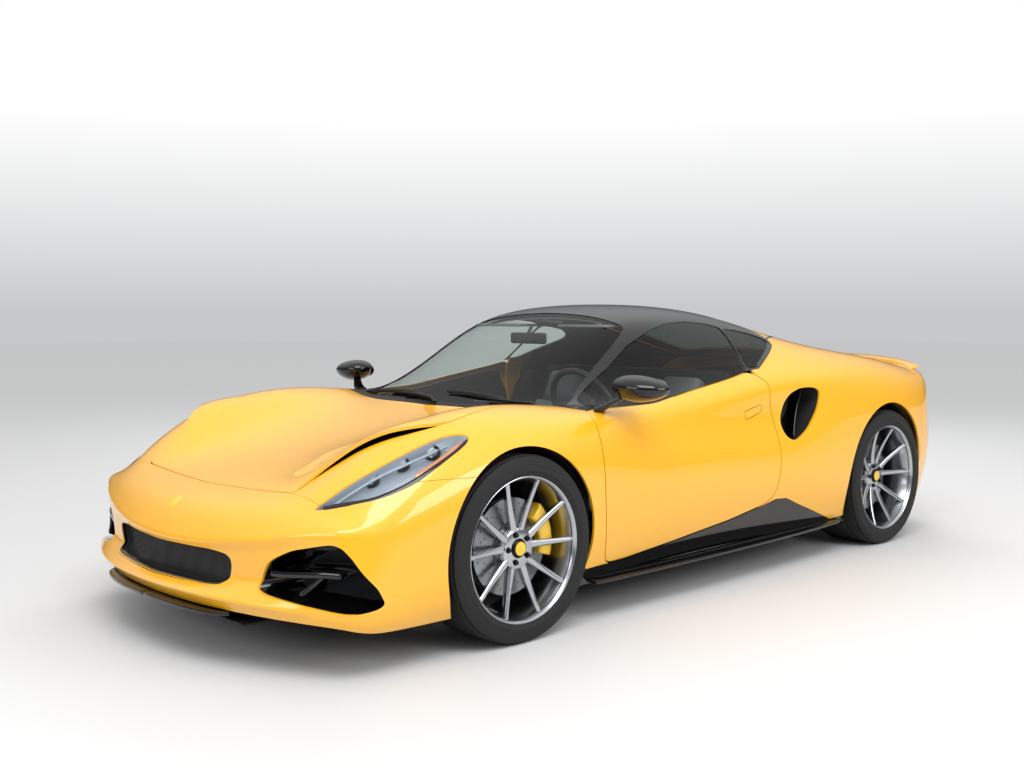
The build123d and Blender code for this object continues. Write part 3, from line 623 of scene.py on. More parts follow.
def lift_bonnet(obj):
    """Raises the bonnet's outer edges over the wings, where its two vents breathe out."""
    for vert in obj.data.vertices:
        x, y = abs(vert.co.x) / MM, vert.co.y / MM
        rise, edge = vent_rise(y), bonnet_edge(y)
        if rise:
            vert.co.z += rise * math.exp(-(max(0, edge - x) / VENT_FADE) ** 2) * MM
    return obj


def thickened(surface, sunk, thickness):
    """Closed shell under the surface: sunk below it, and as thick as given."""
    obj = duplicate(surface)
    for vert, outer in zip(obj.data.vertices, surface.data.vertices):
        vert.co -= outer.normal * sunk * MM
    mod = obj.modifiers.new("thick", "SOLIDIFY")
    mod.thickness, mod.offset, mod.use_even_offset = thickness * MM, -1, False
    return bake(obj)


class BodySurface:
    """Looks up the smooth surface's normals for the panels cut from it."""

    def __init__(self, mesh):
        self.corners = [v.co.copy() for v in mesh.vertices]
        self.normals = [v.normal.copy() for v in mesh.vertices]
        self.faces = [tuple(p.vertices) for p in mesh.polygons]
        self.tree = BVHTree.FromPolygons(self.corners, self.faces)

    def normal_at(self, point, reach):
        """The surface's normal at its place nearest to the point, if that is within reach."""
        found, _, index, distance = self.tree.find_nearest(point)
        if found is None or distance > reach:
            return None
        face = self.faces[index]
        weights = poly_3d_calc([self.corners[i] for i in face], found)
        total = Vector((0, 0, 0))
        for i, weight in zip(face, weights):
            total += self.normals[i] * weight
        return total.normalized()

    def polish(self, obj, sunk=0.0):
        """Outer faces take the smooth surface's normals; cut edges stay crisp."""
        smooth(obj)
        mesh = obj.data
        known = [self.normal_at(v.co, (sunk + 0.6) * MM) for v in mesh.vertices]
        normals = [Vector((0, 0, 0))] * len(mesh.loops)
        for polygon in mesh.polygons:
            for loop in polygon.loop_indices:
                normal = known[mesh.loops[loop].vertex_index]
                if normal is not None and polygon.normal.dot(normal) > 0.8:
                    normals[loop] = normal
        mesh.normals_split_custom_set(normals)
        return obj


# ---------------------------------------------------------------- body panels
SKIN_ZONES = ((-FAR_Y, -600), (-1000, 800), (200, FAR_Y))      # front, middle and rear of the car
GLASS_SUNK, GLASS_WALL = 2.5, 4.0
SHUT_GAP = 5.0                              # round doors and lids
SEAM = 1.5                                  # between fixed panels
LAMP_GAP, DOOR_GLASS_GAP = 2.5, 4.0
NOSE_FLOOR, LAMP_FLOOR, ROOF_FLOOR = 480, 400, 600      # where cuts from above end
SCUTTLE = ((-700, -1000, 600), (700, -700, 1000))       # what the cowl takes of the body


class BodyShells:
    """The shells under the one smooth surface, and the pieces cut from them by name."""

    def __init__(self):
        self.surface = subdivided(make_object(soft_cage()), 3)
        self.lookup = BodySurface(self.surface.data)
        self.skin = thickened(self.surface, 0, SKIN)
        self.glass = thickened(self.surface, GLASS_SUNK, GLASS_WALL)
        self.front, self.middle, self.rear = (
            carved(self.skin, [box_cutter((-FAR_X, low, 0), (FAR_X, high, FAR_Z))])
            for low, high in SKIN_ZONES)
        self.made = {}

    def panel(self, name, base, keep, cut=()):
        """Cuts a panel with the surface's shading. A name with {} is cut on the left and mirrored."""
        sunk = GLASS_SUNK if base is self.glass else 0
        piece = carved(base, keep, cut)
        self.made[name.format("left")] = self.lookup.polish(piece, sunk)
        if "{}" in name:
            self.made[name.format("right")] = self.lookup.polish(mirror_copy(piece), sunk)

    def cut_front(self):
        """Bumper, wings, lamp covers, cowl and windscreen."""
        bonnet_gap, lamp_gap = grown(BONNET, SHUT_GAP), grown(HEADLAMP, LAMP_GAP)
        self.panel("front_bumper_skin", self.front, [side_view(BUMPER_SIDE)],
                   [top_view(bonnet_gap, NOSE_FLOOR)]
                   + [top_view(grown(lamp, LAMP_GAP), LAMP_FLOOR) for lamp in both_sides(HEADLAMP)]
                   + [front_view(GRILLE, -FAR_Y, -1900)]
                   + [front_view(opening, -FAR_Y, -1780) for opening in both_sides(SIDE_OPENING)]
                   + arch_drums(ARCHES))
        self.panel("fender_{}_skin", self.front, [box_cutter((300, -2200, 130), (FAR_X, -700, 1400))],
                   [side_view(grown(BUMPER_SIDE, SEAM)), top_view(bonnet_gap, NOSE_FLOOR),
                    top_view(lamp_gap, LAMP_FLOOR), top_view(grown(CABIN_PLAN, 2)),
                    side_view(grown(DOOR_SKIN, SHUT_GAP)), side_view(grown(SKIRT_SIDE, SEAM)),
                    box_cutter((0, -2300, 0), (560, -700, NOSE_FLOOR))] + arch_drums(ARCHES, ["left"]))
        self.panel("headlamp_cover_{}", self.glass, [top_view(HEADLAMP, LAMP_FLOOR)])
        self.panel("cowl_skin", self.front, [top_view(CABIN_PLAN, ROOF_FLOOR), box_cutter(*SCUTTLE)],
                   [top_view(bonnet_gap, NOSE_FLOOR), top_view(grown(SCREEN, 1))])
        self.panel("windshield_glass", self.glass, [top_view(SCREEN, ROOF_FLOOR)])

    def cut_middle(self):
        """Roof with its pillars, side glass, doors and skirts."""
        roof_cut = [top_view(grown(SCREEN, SEAM), ROOF_FLOOR), top_view(grown(LID, SHUT_GAP), ROOF_FLOOR),
                    box_cutter(*SCUTTLE)]
        for side in SIDES.values():
            low, high = sorted((side * 300, side * FAR_X))
            roof_cut.append(side_view(grown(DOOR_GLASS, DOOR_GLASS_GAP), low, high))
            roof_cut.append(side_view(grown(QUARTER_GLASS, SEAM), low, high))
        self.panel("roof_skin", self.middle, [side_view(ROOF_SIDE), top_view(CABIN_PLAN, ROOF_FLOOR)],
                   roof_cut)
        self.panel("door_glass_pane_{}", self.glass, [side_view(DOOR_GLASS, 300)])
        self.panel("quarter_glass_{}", self.glass, [side_view(QUARTER_GLASS, 300)])
        self.panel("door_{}_skin", self.middle, [side_view(DOOR_SKIN, 600)],
                   [box_cutter((500, -900, 780), (690, -600, 900))])
        self.panel("skirt_{}_skin", self.skin, [side_view(SKIRT_SIDE, 300)], arch_drums(ARCHES, ["left"]))

    def cut_rear(self):
        """Rear sides, rear lid with its glass, and bumper."""
        lid_gap = grown(LID, SHUT_GAP)
        self.panel("quarter_{}_skin", self.rear, [box_cutter((0, 250, 130), (FAR_X, 1763, 1400))],
                   [side_view(grown(DOOR_SKIN, SHUT_GAP), 500), side_view(grown(SKIRT_SIDE, SEAM)),
                    side_view(grown(ROOF_SIDE, SEAM), 0), side_view(grown(QUARTER_GLASS, SEAM), 0),
                    top_view(lid_gap, ROOF_FLOOR), side_view(INTAKE, 700),
                    box_cutter((0, 250, 900), (FAR_X, 345, 1400)), box_cutter((0, 0, 0), (560, FAR_Y, 560))]
                   + arch_drums(ARCHES, ["left"]))
        self.panel("tailgate_skin", self.rear, [top_view(LID, ROOF_FLOOR)],
                   [top_view(grown(LID_GLASS, 1), ROOF_FLOOR)])
        self.panel("rear_glass_pane", self.glass, [top_view(LID_GLASS, ROOF_FLOOR)])
        self.panel("rear_bumper_skin", self.rear, [box_cutter((-FAR_X, 1765, 130), (FAR_X, FAR_Y, 1400))],
                   [top_view(lid_gap, 850), front_view(REAR_PANEL, 2000, FAR_Y),
                    front_view(DIFFUSER_OPENING, 1900, FAR_Y)] + arch_drums(["rear"]))

    def cut_bonnet(self):
        """Cut like the others, then its outer edges rise, and its shading with them."""
        raised = lift_bonnet(duplicate(self.surface))
        bonnet = lift_bonnet(carved(self.front, [top_view(BONNET, NOSE_FLOOR)]))
        self.made["bonnet_skin"] = BodySurface(raised.data).polish(bonnet)
        drop(raised)

    def sink_recesses(self):
        """Floors of the bonnet's vents and bowls of the headlamps, below the skin."""
        for name, outline, depth in (("vent", VENT, 12), ("headlamp_bowl", grown(HEADLAMP, 8), 48)):
            floor = moved(carved(self.front, [top_view(outline, LAMP_FLOOR)]), move_by(0, 0, -depth))
            self.made[f"{name}_left"] = smooth(floor)
            self.made[f"{name}_right"] = smooth(mirror_copy(floor))

    def line_inside(self):
        """Headliner, door cards, and the inner sheets of both lids and of the engine bay."""
        lining, card = thickened(self.surface, 24, 4), thickened(self.surface, 46, 10)
        inner = thickened(self.surface, SKIN + 1, 5)
        headliner = carved(lining, [top_view(HEADLINER, 900)])
        door_card = carved(card, [side_view(DOOR_CARD, 600)])
        holes = [top_view(grown(LID, 9), ROOF_FLOOR)]
        for outline, inmost in ((INTAKE, 500), (grown(QUARTER_GLASS, 4), 300)):
            holes += [side_view(outline, inmost), side_view(outline, -FAR_X, -inmost)]
        sheets = {
            "headliner": headliner,
            "door_card_left": door_card,
            "door_card_right": mirror_copy(door_card),
            "bonnet_liner": lift_bonnet(carved(inner, [top_view(grown(BONNET, -45), NOSE_FLOOR)])),
            "tailgate_liner": carved(inner, [top_view(grown(LID, -30), ROOF_FLOOR)],
                                     [top_view(grown(LID_GLASS, 6), ROOF_FLOOR)]),
            "engine_bay_liner": carved(inner, [box_cutter((-FAR_X, 500, 400), (FAR_X, 1755, 1400))],
                                       holes + arch_drums(["rear"])),
        }
        for name, sheet in sheets.items():
            self.made[name] = smooth(sheet)
        drop(lining, card, inner)

    def clear(self):
        drop(self.surface, self.skin, self.glass, self.front, self.middle, self.rear)


# piece: finish, body, nodes it stands for, slot; {} is cut on the left and mirrored to the right
PANELS = {
    "front_bumper_skin": ("yellow_paint", "shell", ["front_bumper"], "yellow_paint"),
    "fender_{}_skin": ("yellow_paint", "shell", ["fender_{}"], "yellow_paint"),
    "headlamp_cover_{}": ("lamp_glass", "shell", ["headlamps"], "lamp_glass"),
    "cowl_skin": ("black_plastic", "shell", ["cowl"], "black_plastic"),
    "windshield_glass": ("window_glass", "shell", ["windshield"], "window_glass"),
    "roof_skin": ("black_paint", "shell", ["roof"], "black_paint"),
    "door_glass_pane_{}": ("window_glass", "door_{}", ["door_glass_{}"], "window_glass"),
    "quarter_glass_{}": ("window_glass", "shell", ["quarter_glass"], "window_glass"),
    "door_{}_skin": ("yellow_paint", "door_{}", ["door_{}"], "yellow_paint"),
    "skirt_{}_skin": ("black_paint", "shell", ["side_skirts"], "black_paint"),
    "quarter_{}_skin": ("yellow_paint", "shell", ["quarter_{}"], "yellow_paint"),
    "tailgate_skin": ("yellow_paint", "tailgate", ["tailgate"], "yellow_paint"),
    "rear_glass_pane": ("rear_glass", "tailgate", ["rear_glass"], "window_glass"),
    "rear_bumper_skin": ("yellow_paint", "shell", ["rear_bumper"], "yellow_paint"),
    "bonnet_skin": ("yellow_paint", "bonnet", ["bonnet"], "yellow_paint"),
    "vent_{}": ("black_plastic", "shell", (), None),
    # the bowls' pale lavender silver is partly painted reflection of the sky on the lamp's cover
    "headlamp_bowl_{}": ("lamp_silver_sky_sheen", "shell", (), None),
    "engine_bay_liner": ("black_composite", "shell", (), None),
    "bonnet_liner": ("black_composite", "bonnet", (), None),
    "tailgate_liner": ("black_composite", "tailgate", (), None),
    "headliner": ("grey_leather", "shell", (), None),
    "door_card_{}": ("seat_leather", "door_{}", (), None),
}


def build_body():
    """Cuts the panels and places them. Returns the surface that the trim is cast upon."""
    shells = BodyShells()
    shells.cut_front()
    shells.cut_middle()
    shells.cut_rear()
    shells.cut_bonnet()
    shells.sink_recesses()
    shells.line_inside()
    shells.clear()
    for pattern, (finish, body, nodes, slot) in PANELS.items():
        for side in SIDES if "{}" in pattern else [""]:
            name = pattern.format(side)
            place_piece(name, shells.made[name], finish, body.format(side),
                        [node.format(side) for node in nodes])
    return shells.lookup


# ---------------------------------------------------------------- shapes for parts
def spun(profile, count=96, closed=True):
    """Full turn of a profile of (along the axis, radius) round X at the origin."""
    bm = bmesh.new()
    verts = [bm.verts.new((x * MM, 0, r * MM)) for x, r in profile]
    edges = [bm.edges.new(pair) for pair in zip(verts, verts[1:])]
    if closed:
        edges.append(bm.edges.new((verts[-1], verts[0])))
    bmesh.ops.spin(bm, geom=verts + edges, cent=(0, 0, 0), axis=(1, 0, 0), angle=2 * math.pi, steps=count,
                   use_merge=True)
    bmesh.ops.remove_doubles(bm, verts=bm.verts, dist=1e-6)
    bmesh.ops.recalc_face_normals(bm, faces=bm.faces)
    return make_object(bm)


def arc_of(profile, start, degrees, steps):
    """Solid from a closed profile of (x, radius), spun round X from one angle through another."""
    bm = bmesh.new()
    face = bm.faces.new([bm.verts.new((x * MM, 0, r * MM)) for x, r in profile])
    bmesh.ops.rotate(bm, cent=(0, 0, 0), matrix=turn_by(start, "X"), verts=bm.verts)
    bmesh.ops.spin(bm, geom=[face], cent=(0, 0, 0), axis=(1, 0, 0), angle=math.radians(degrees), steps=steps,
                   use_merge=False)
    bmesh.ops.recalc_face_normals(bm, faces=bm.faces)
    return make_object(bm)


def box_mesh(bm, low, high, bevel=0.0, segments=2, matrix=None):
    """Box between two corners in mm, with rounded edges."""
    cube = bmesh.ops.create_cube(bm, size=1)["verts"]
    size = [b - a for a, b in zip(low, high)]
    centre = [(a + b) / 2 for a, b in zip(low, high)]
    bmesh.ops.scale(bm, vec=Vector(size) * MM, verts=cube)
    bmesh.ops.translate(bm, vec=Vector(centre) * MM, verts=cube)
    if matrix is not None:
        bmesh.ops.transform(bm, matrix=matrix, verts=cube)
    if bevel:
        edges = list({e for v in cube for e in v.link_edges})
        bmesh.ops.bevel(bm, geom=edges, offset=bevel * MM, offset_type="OFFSET", segments=segments,
                        profile=0.5, affect="EDGES", material=-1)


def boxes(rows, bevel=3.0, segments=2):
    bm = bmesh.new()
    for low, high in rows:
        box_mesh(bm, low, high, bevel, segments)
    return smooth(make_object(bm))


def bridged(bm, rings):
    """Skin over a row of rings with equal counts of corners, closed at both ends."""
    for a, b in zip(rings, rings[1:]):
        for k in range(len(a)):
            after = (k + 1) % len(a)
            bm.faces.new((a[k], a[after], b[after], b[k]))
    bm.faces.new(rings[0])
    bm.faces.new(rings[-1])


def tube(paths, radius, sides=12, flat=1.0):
    """Round bars along paths of points in mm; flat squeezes them upright."""
    bm = bmesh.new()
    for path in paths:
        rings = []
        for i, point in enumerate(path):
            before, after = Vector(path[max(0, i - 1)]), Vector(path[min(len(path) - 1, i + 1)])
            along = (after - before).normalized()
            across = along.cross(Vector((0, 0, 1)))
            across = across.normalized() if across.length > 1e-4 else Vector((1, 0, 0))
            up = across.cross(along)
            size = radius[i] if isinstance(radius, (list, tuple)) else radius
            rings.append([bm.verts.new((Vector(point) + across * a * size + up * b * size * flat) * MM)
                          for a, b in circle(sides, 1.0)])
        bridged(bm, rings)
    bmesh.ops.recalc_face_normals(bm, faces=bm.faces)
    return smooth(make_object(bm))


def strip(left, right, thickness):
    """Slab between two rails of points in mm, with rounded edges."""
    bm = bmesh.new()
    a = [bm.verts.new(Vector(p) * MM) for p in left]
    b = [bm.verts.new(Vector(p) * MM) for p in right]
    for i in range(len(a) - 1):
        bm.faces.new((a[i], a[i + 1], b[i + 1], b[i]))
    bmesh.ops.recalc_face_normals(bm, faces=bm.faces)
    obj = make_object(bm)
    mod = obj.modifiers.new("thick", "SOLIDIFY")
    mod.thickness, mod.offset = thickness * MM, 0
    return smooth(rounded(obj, thickness * 0.3, 2))


def ball(centre, size, rings=20):
    """Closed ellipsoid with half-sizes in mm."""
    bm = bmesh.new()
    verts = bmesh.ops.create_uvsphere(bm, u_segments=rings * 2, v_segments=rings, radius=1)["verts"]
    bmesh.ops.scale(bm, vec=Vector(size) * MM, verts=verts)
    bmesh.ops.translate(bm, vec=Vector(centre) * MM, verts=verts)
    return smooth(make_object(bm))


# ---------------------------------------------------------------- wheels
WHEELS = {
    # axle: tyre width, wheel centre x, hub face behind the lip, caliper turn
    "front": (245.0, 805.0, 34.0, -107.0),
    "rear": (295.0, 790.0, 66.0, 58.0),
}
RIM_EDGE = 262.0                            # radius of the rim's lip
RIM_INSET = 13.0                            # of the rim inside the tyre's side
DISC_RADIUS, DISC_BEHIND = 178.0, 62.0      # the disc, and how far it stands behind the hub's face
SPOKES = 5
GROOVE = 6.5
# the tread's ribs from edge to edge, as shares of the tyre's half width
RIBS = [(-0.80, -0.47), (-0.44, -0.17), (-0.14, 0.14), (0.17, 0.44), (0.47, 0.80)]


def tyre_ring(radius, width):
    """Low-profile tyre with four grooves, cross cuts in its ribs and raised sidewall rings."""
    half = width / 2
    tread = []
    for start, end in ((a * half, b * half) for a, b in RIBS):
        crown = 1.5 * (abs(start + end) / width) ** 2
        tread += [(start, radius - GROOVE), (start, radius - crown),
                  (end, radius - crown), (end, radius - GROOVE)]
    wall = [(half * 0.90, radius - 5), (half * 0.975, radius - 18), (half - 1, radius - 34),
            (half, radius - 50), (half + 0.8, radius - 52), (half + 0.8, radius - 55),
            (half - 0.6, radius - 57), (half - 5, RIM_EDGE + 6), (half - 12, RIM_EDGE - 2),
            (half - 22, RIM_EDGE - 10)]
    ring = spun([(-x, r) for x, r in reversed(wall)] + tread + wall, 150)
    bm = bmesh.new()
    bm.from_mesh(ring.data)
    drop(ring)
    tops = [f for f in bm.faces if abs(f.calc_center_median().x) < half * 0.82 * MM
            and f.calc_center_median().yz.length > (radius - 3.2) * MM and abs(f.normal.x) < 0.3]
    bmesh.ops.inset_individual(bm, faces=tops, thickness=1.1 * MM, depth=0.0)
    for face in tops:
        for vert in face.verts:
            vert.co += Vector((0, vert.co.y, vert.co.z)).normalized() * 1.6 * MM
    return smooth(make_object(bm), 28)


def rim_barrel(width):
    """Rim with its outer lip, bead seats and drop well."""
    half = width / 2 - RIM_INSET
    profile = [(half, RIM_EDGE + 5), (half + 5, RIM_EDGE + 4), (half + 6, RIM_EDGE + 1),
               (half + 4, RIM_EDGE - 2), (half - 2, RIM_EDGE - 6), (half - 8, 253), (half - 40, 244),
               (half - 70, 236), (-half + 30, 240), (-half + 6, 244), (-half, RIM_EDGE),
               (-half, RIM_EDGE + 5), (-half + 8, RIM_EDGE + 4), (-half + 12, 252), (-half + 60, 250),
               (-half + 90, 243), (half - 90, 243), (half - 60, 250), (half - 14, 252),
               (half - 8, RIM_EDGE + 2)]
    return smooth(spun(profile, 128), 40)


def spoke_pair(bm, face_x, lip_x, angle):
    """Two bars that leave the hub together and spread to the rim, narrowing on the way."""
    for side in (1, -1):
        rings = []
        for share in (0.0, 0.16, 0.36, 0.58, 0.8, 1.0):
            radius = 50 + 196 * share
            middle = side * (11 + 66 * share)
            width = 17 - 9 * share + 2.5 * share ** 6
            front = face_x + (lip_x - face_x) * share ** 1.7
            depth = 34 - 14 * share
            section = ((-0.8, depth), (-1, 5), (-0.55, 0), (0.55, 0), (1, 5), (0.8, depth))
            rings.append([bm.verts.new(Vector((front - back, middle + across * width, radius)) * MM)
                          for across, back in section])
        bridged(bm, rings)
        bmesh.ops.rotate(bm, cent=(0, 0, 0), matrix=Matrix.Rotation(angle, 3, "X"),
                         verts=[vert for ring in rings for vert in ring])


def wheel_face(face_x, lip_x):
    """Five concave twin spokes round a hub pad."""
    bm = bmesh.new()
    for i in range(SPOKES):
        spoke_pair(bm, face_x, lip_x, 2 * math.pi * i / SPOKES)
    bmesh.ops.recalc_face_normals(bm, faces=bm.faces)
    bars = rounded(make_object(bm), 2.2, 2, 25)
    pad = spun([(face_x - 36, 0), (face_x - 36, 78), (face_x - 14, 80), (face_x - 3, 74), (face_x + 1, 66),
                (face_x + 1, 36), (face_x - 4, 33), (face_x - 4, 0)], 80, closed=False)
    return smooth(joined([bars, pad]), 30)


def face_across(bm, verts, at):
    """Turns flat shapes made round Z so that they face along X, and moves them to their place."""
    bmesh.ops.rotate(bm, cent=(0, 0, 0), matrix=Matrix.Rotation(math.pi / 2, 3, "Y"), verts=verts)
    bmesh.ops.translate(bm, vec=Vector(at) * MM, verts=verts)


def wheel_bolts(face_x):
    """Bolts between the spokes, each a washer and a hexagon head."""
    bm = bmesh.new()
    for i in range(SPOKES):
        angle = 2 * math.pi * (i + 0.5) / SPOKES
        for radius, low, high, sides in ((12.5, -4, 1.5, 24), (8.0, 0, 12, 6)):
            cone = bmesh.ops.create_cone(bm, cap_ends=True, segments=sides, radius1=radius * MM,
                                         radius2=radius * 0.94 * MM, depth=(high - low) * MM)["verts"]
            face_across(bm, cone, (face_x + (low + high) / 2, 52 * math.cos(angle), 52 * math.sin(angle)))
    return smooth(make_object(bm))


def hub_cap(face_x):
    """Domed cap in the middle of the wheel."""
    profile = [(-6, 33), (5, 33), (9, 30), (10.5, 26), (10.5, 0)]
    return smooth(spun([(face_x + x, r) for x, r in profile], 48, closed=False))


def cap_disc(face_x):
    """Bare coloured disc on the cap, where a maker would put a sign."""
    profile = [(9, 25), (11.6, 25), (12.2, 22), (12.4, 0)]
    return smooth(spun([(face_x + x, r) for x, r in profile], 48, closed=False))


def brake_disc(x):
    """Two friction rings with vanes between, and the hat to the hub."""
    profile = [(x - 15, 112), (x - 15, DISC_RADIUS), (x - 4, DISC_RADIUS), (x - 4, DISC_RADIUS - 8),
               (x + 4, DISC_RADIUS - 8), (x + 4, DISC_RADIUS), (x + 15, DISC_RADIUS), (x + 15, 108),
               (x + 20, 92), (x + 30, 88), (x + 30, 40), (x + 24, 40), (x + 24, 84), (x + 10, 90),
               (x + 8, 112)]
    bm = bmesh.new()
    vanes = 60
    for i in range(vanes):
        box_mesh(bm, (x - 4, -2.5, 118), (x + 4, 2.5, DISC_RADIUS - 3),
                 matrix=Matrix.Rotation(2 * math.pi * i / vanes, 4, "X"))
    return smooth(joined([spun(profile, 120), make_object(bm)]), 40)


def disc_holes(x):
    """Painted shade of the cross-drilled holes: dark discs at their mouths, just proud of the friction ring.
    """
    bm = bmesh.new()
    rows = 18
    for i in range(rows):
        for k, share in enumerate((0.28, 0.5, 0.72)):
            angle = 2 * math.pi * (i + k * 0.33) / rows
            at = 112 + (DISC_RADIUS - 112) * share
            mouth = bmesh.ops.create_circle(bm, cap_ends=True, segments=10, radius=3.2 * MM)["verts"]
            face_across(bm, mouth, (x + 15.15, at * math.cos(angle), at * math.sin(angle)))
    return make_object(bm)


def brake_caliper(x, angle):
    """Body over the disc's edge, spun through a short arc round the hub."""
    profile = [(x - 42, 128), (x + 40, 128), (x + 46, 140), (x + 46, DISC_RADIUS - 2),
               (x + 34, DISC_RADIUS + 22), (x - 34, DISC_RADIUS + 22), (x - 42, DISC_RADIUS - 2)]
    body = rounded(arc_of(profile, 0, 64, 14), 6, 3)
    return smooth(moved(body, turn_by(angle, "X")), 40)


def hang(source, axle, side, angle):
    """A copy of a piece made round the origin, at its hub and mirrored on the right."""
    obj = duplicate(source) if side == "left" else smooth(mirror_copy(source), angle)
    return moved(obj, move_by(SIDES[side] * WHEELS[axle][1], *AXLES[axle]))


def build_wheel(axle):
    """Both wheels of an axle, each piece made once and hung on either side."""
    width, _, hub_in, caliper_turn = WHEELS[axle]
    lip_x = width / 2 - RIM_INSET - 6
    face_x = width / 2 - RIM_INSET - hub_in
    disc_x = face_x - DISC_BEHIND
    # piece: its mesh, finish and node
    parts = {
        "tyre": (tyre_ring(AXLES[axle][1], width), "tyre", ["tyre_{}_{}"]),
        "rim": (rim_barrel(width), "silver_alloy", ["rim_{}_{}"]),
        "spokes": (wheel_face(face_x, lip_x), "silver_alloy", ()),
        "bolts": (wheel_bolts(face_x), "dark_steel_and_hole_shade", ()),
        "cap": (hub_cap(face_x), "dark_steel_and_hole_shade", ()),
        "badge": (cap_disc(face_x), "yellow_caliper", ()),
        "disc": (brake_disc(disc_x), "brake_iron", ["disc_{}_{}"]),
        # dark discs that paint the shade inside the drilled holes
        "hole_shade": (disc_holes(disc_x), "dark_steel_and_hole_shade", ()),
    }
    for side in SIDES:
        for part, (source, finish, nodes) in parts.items():
            place_piece(f"{part}_{axle}_{side}_visual", hang(source, axle, side, 30), finish,
                        f"wheel_{axle}_{side}", [node.format(axle, side) for node in nodes])
    caliper = brake_caliper(disc_x, caliper_turn)
    body, node = {"front": ("knuckle_{}", "caliper_front_{}"), "rear": ("shell", "rear_calipers")}[axle]
    for side in SIDES:
        place_piece(f"caliper_{axle}_{side}_visual", hang(caliper, axle, side, 40), "yellow_caliper",
                    body.format(side), [node.format(side)])
    drop(caliper, *(source for source, _, _ in parts.values()))


# ---------------------------------------------------------------- trim that follows the body
AHEAD, BEHIND, BESIDE, ABOVE = (1, -3000), (1, 3000), (0, 3000), (2, 3000)     # axis and start of the rays


def cast(start, direction):
    """Point of the body's surface in mm that a ray from outside first meets."""
    found = BODY.tree.ray_cast(Vector(start) * MM, Vector(direction))[0]
    return found / MM if found is not None else Vector(start)


def cast_along(pair, view, deeper=0.0):
    """The surface's point behind a pair of coordinates in a view, and some way below it."""
    axis, start = view
    inward = Vector((0, 0, 0))
    inward[axis] = -math.copysign(1, start)
    return cast(inserted(pair, axis, start), inward) + inward * deeper


def both(name, obj, finish, body="shell", nodes=()):
    """Places the left piece and its mirrored twin; a body name with {} takes the side's name."""
    pieces = {"left": obj, "right": smooth(mirror_copy(obj))}
    for side, piece in pieces.items():
        place_piece(f"{name}_{side}", piece, finish, body.format(side), [n.format(side) for n in nodes])
    return pieces.values()


def duct(outline, view, depth, shrink=0.9, sunk=4):
    """Tube from the surface inwards, narrowing to its closed far end."""
    axis, start = view
    middle = Vector((sum(p[0] for p in outline), sum(p[1] for p in outline))) / len(outline)
    inward = -math.copysign(depth, start)
    edge = [cast_along(pair, view, sunk) for pair in outline]
    end = [inserted(middle + (Vector(pair) - middle) * shrink, axis, point[axis] + inward)
           for pair, point in zip(outline, edge)]
    bm = bmesh.new()
    mouth = [bm.verts.new(point * MM) for point in edge]
    floor = [bm.verts.new(point * MM) for point in end]
    for i in range(len(mouth)):
        k = (i + 1) % len(mouth)
        bm.faces.new((mouth[i], mouth[k], floor[k], floor[i]))
    bm.faces.new(floor)
    bmesh.ops.recalc_face_normals(bm, faces=bm.faces)
    obj = make_object(bm)
    mod = obj.modifiers.new("thick", "SOLIDIFY")
    mod.thickness, mod.offset = 2.5 * MM, 1
    return smooth(bake(obj), 50)


def band(points, view, width, depth, sunk):
    """Bar that follows the surface through points drawn in a view."""
    rails = ([], [])
    for i, pair in enumerate(points):
        ahead, behind = points[min(i + 1, len(points) - 1)], points[max(i - 1, 0)]
        run = Vector((ahead[0] - behind[0], ahead[1] - behind[1])).normalized()
        side = Vector((-run.y, run.x)) * width / 2
        for rail, sign in zip(rails, (1, -1)):
            place = (pair[0] + side.x * sign, pair[1] + side.y * sign)
            rail.append(cast_along(place, view, sunk + depth / 2))
    return strip(*rails, depth)


# ---------------------------------------------------------------- front
def build_nose():
    """What fills and frames the openings of the nose, the splitter, floor trays and luggage tub."""
    place_piece("grille_duct", duct(grown(GRILLE, 4), AHEAD, 30, 0.97), "mesh")
    place_piece("grille_frame", band([*GRILLE, GRILLE[0]], AHEAD, 5, 12, 3), "black_paint")
    both("front_duct", duct(grown(SIDE_OPENING, 4), AHEAD, 150, 0.8), "black_paint")
    blade = fine([(566, 330), (650, 336), (730, 344), (795, 349), (838, 350)])
    both("front_blade", band(blade, AHEAD, 22, 50, 14), "black_paint")
    strut = fine([(705, 272), (742, 305), (778, 342)])
    both("front_strut", band(strut, AHEAD, 18, 44, 16), "black_paint")
    lip = fine([(0, -2204, 188), (200, -2194, 186), (330, -2172, 184), (410, -2146, 184), (450, -2116, 186)])
    inner = [p + Vector((-p.x * 0.1, 84, 4)) for p in lip]
    both("splitter", strip(lip, inner, 14), "black_paint")
    trays = [((-500, -2090, 150), (500, -860, 156)), ((-500, 965, 160), (500, 1930, 166))]
    place_piece("undertrays", boxes(trays, 2), "black_composite")
    walls = [((-334, -1790, 288), (334, -930, 293)), ((-334, -1790, 293), (-330, -930, 585)),
             ((330, -1790, 293), (334, -930, 585)), ((-334, -1790, 293), (334, -1785, 560)),
             ((-334, -935, 293), (334, -930, 640))]
    place_piece("luggage_tub", boxes(walls, 1.5), "carpet")


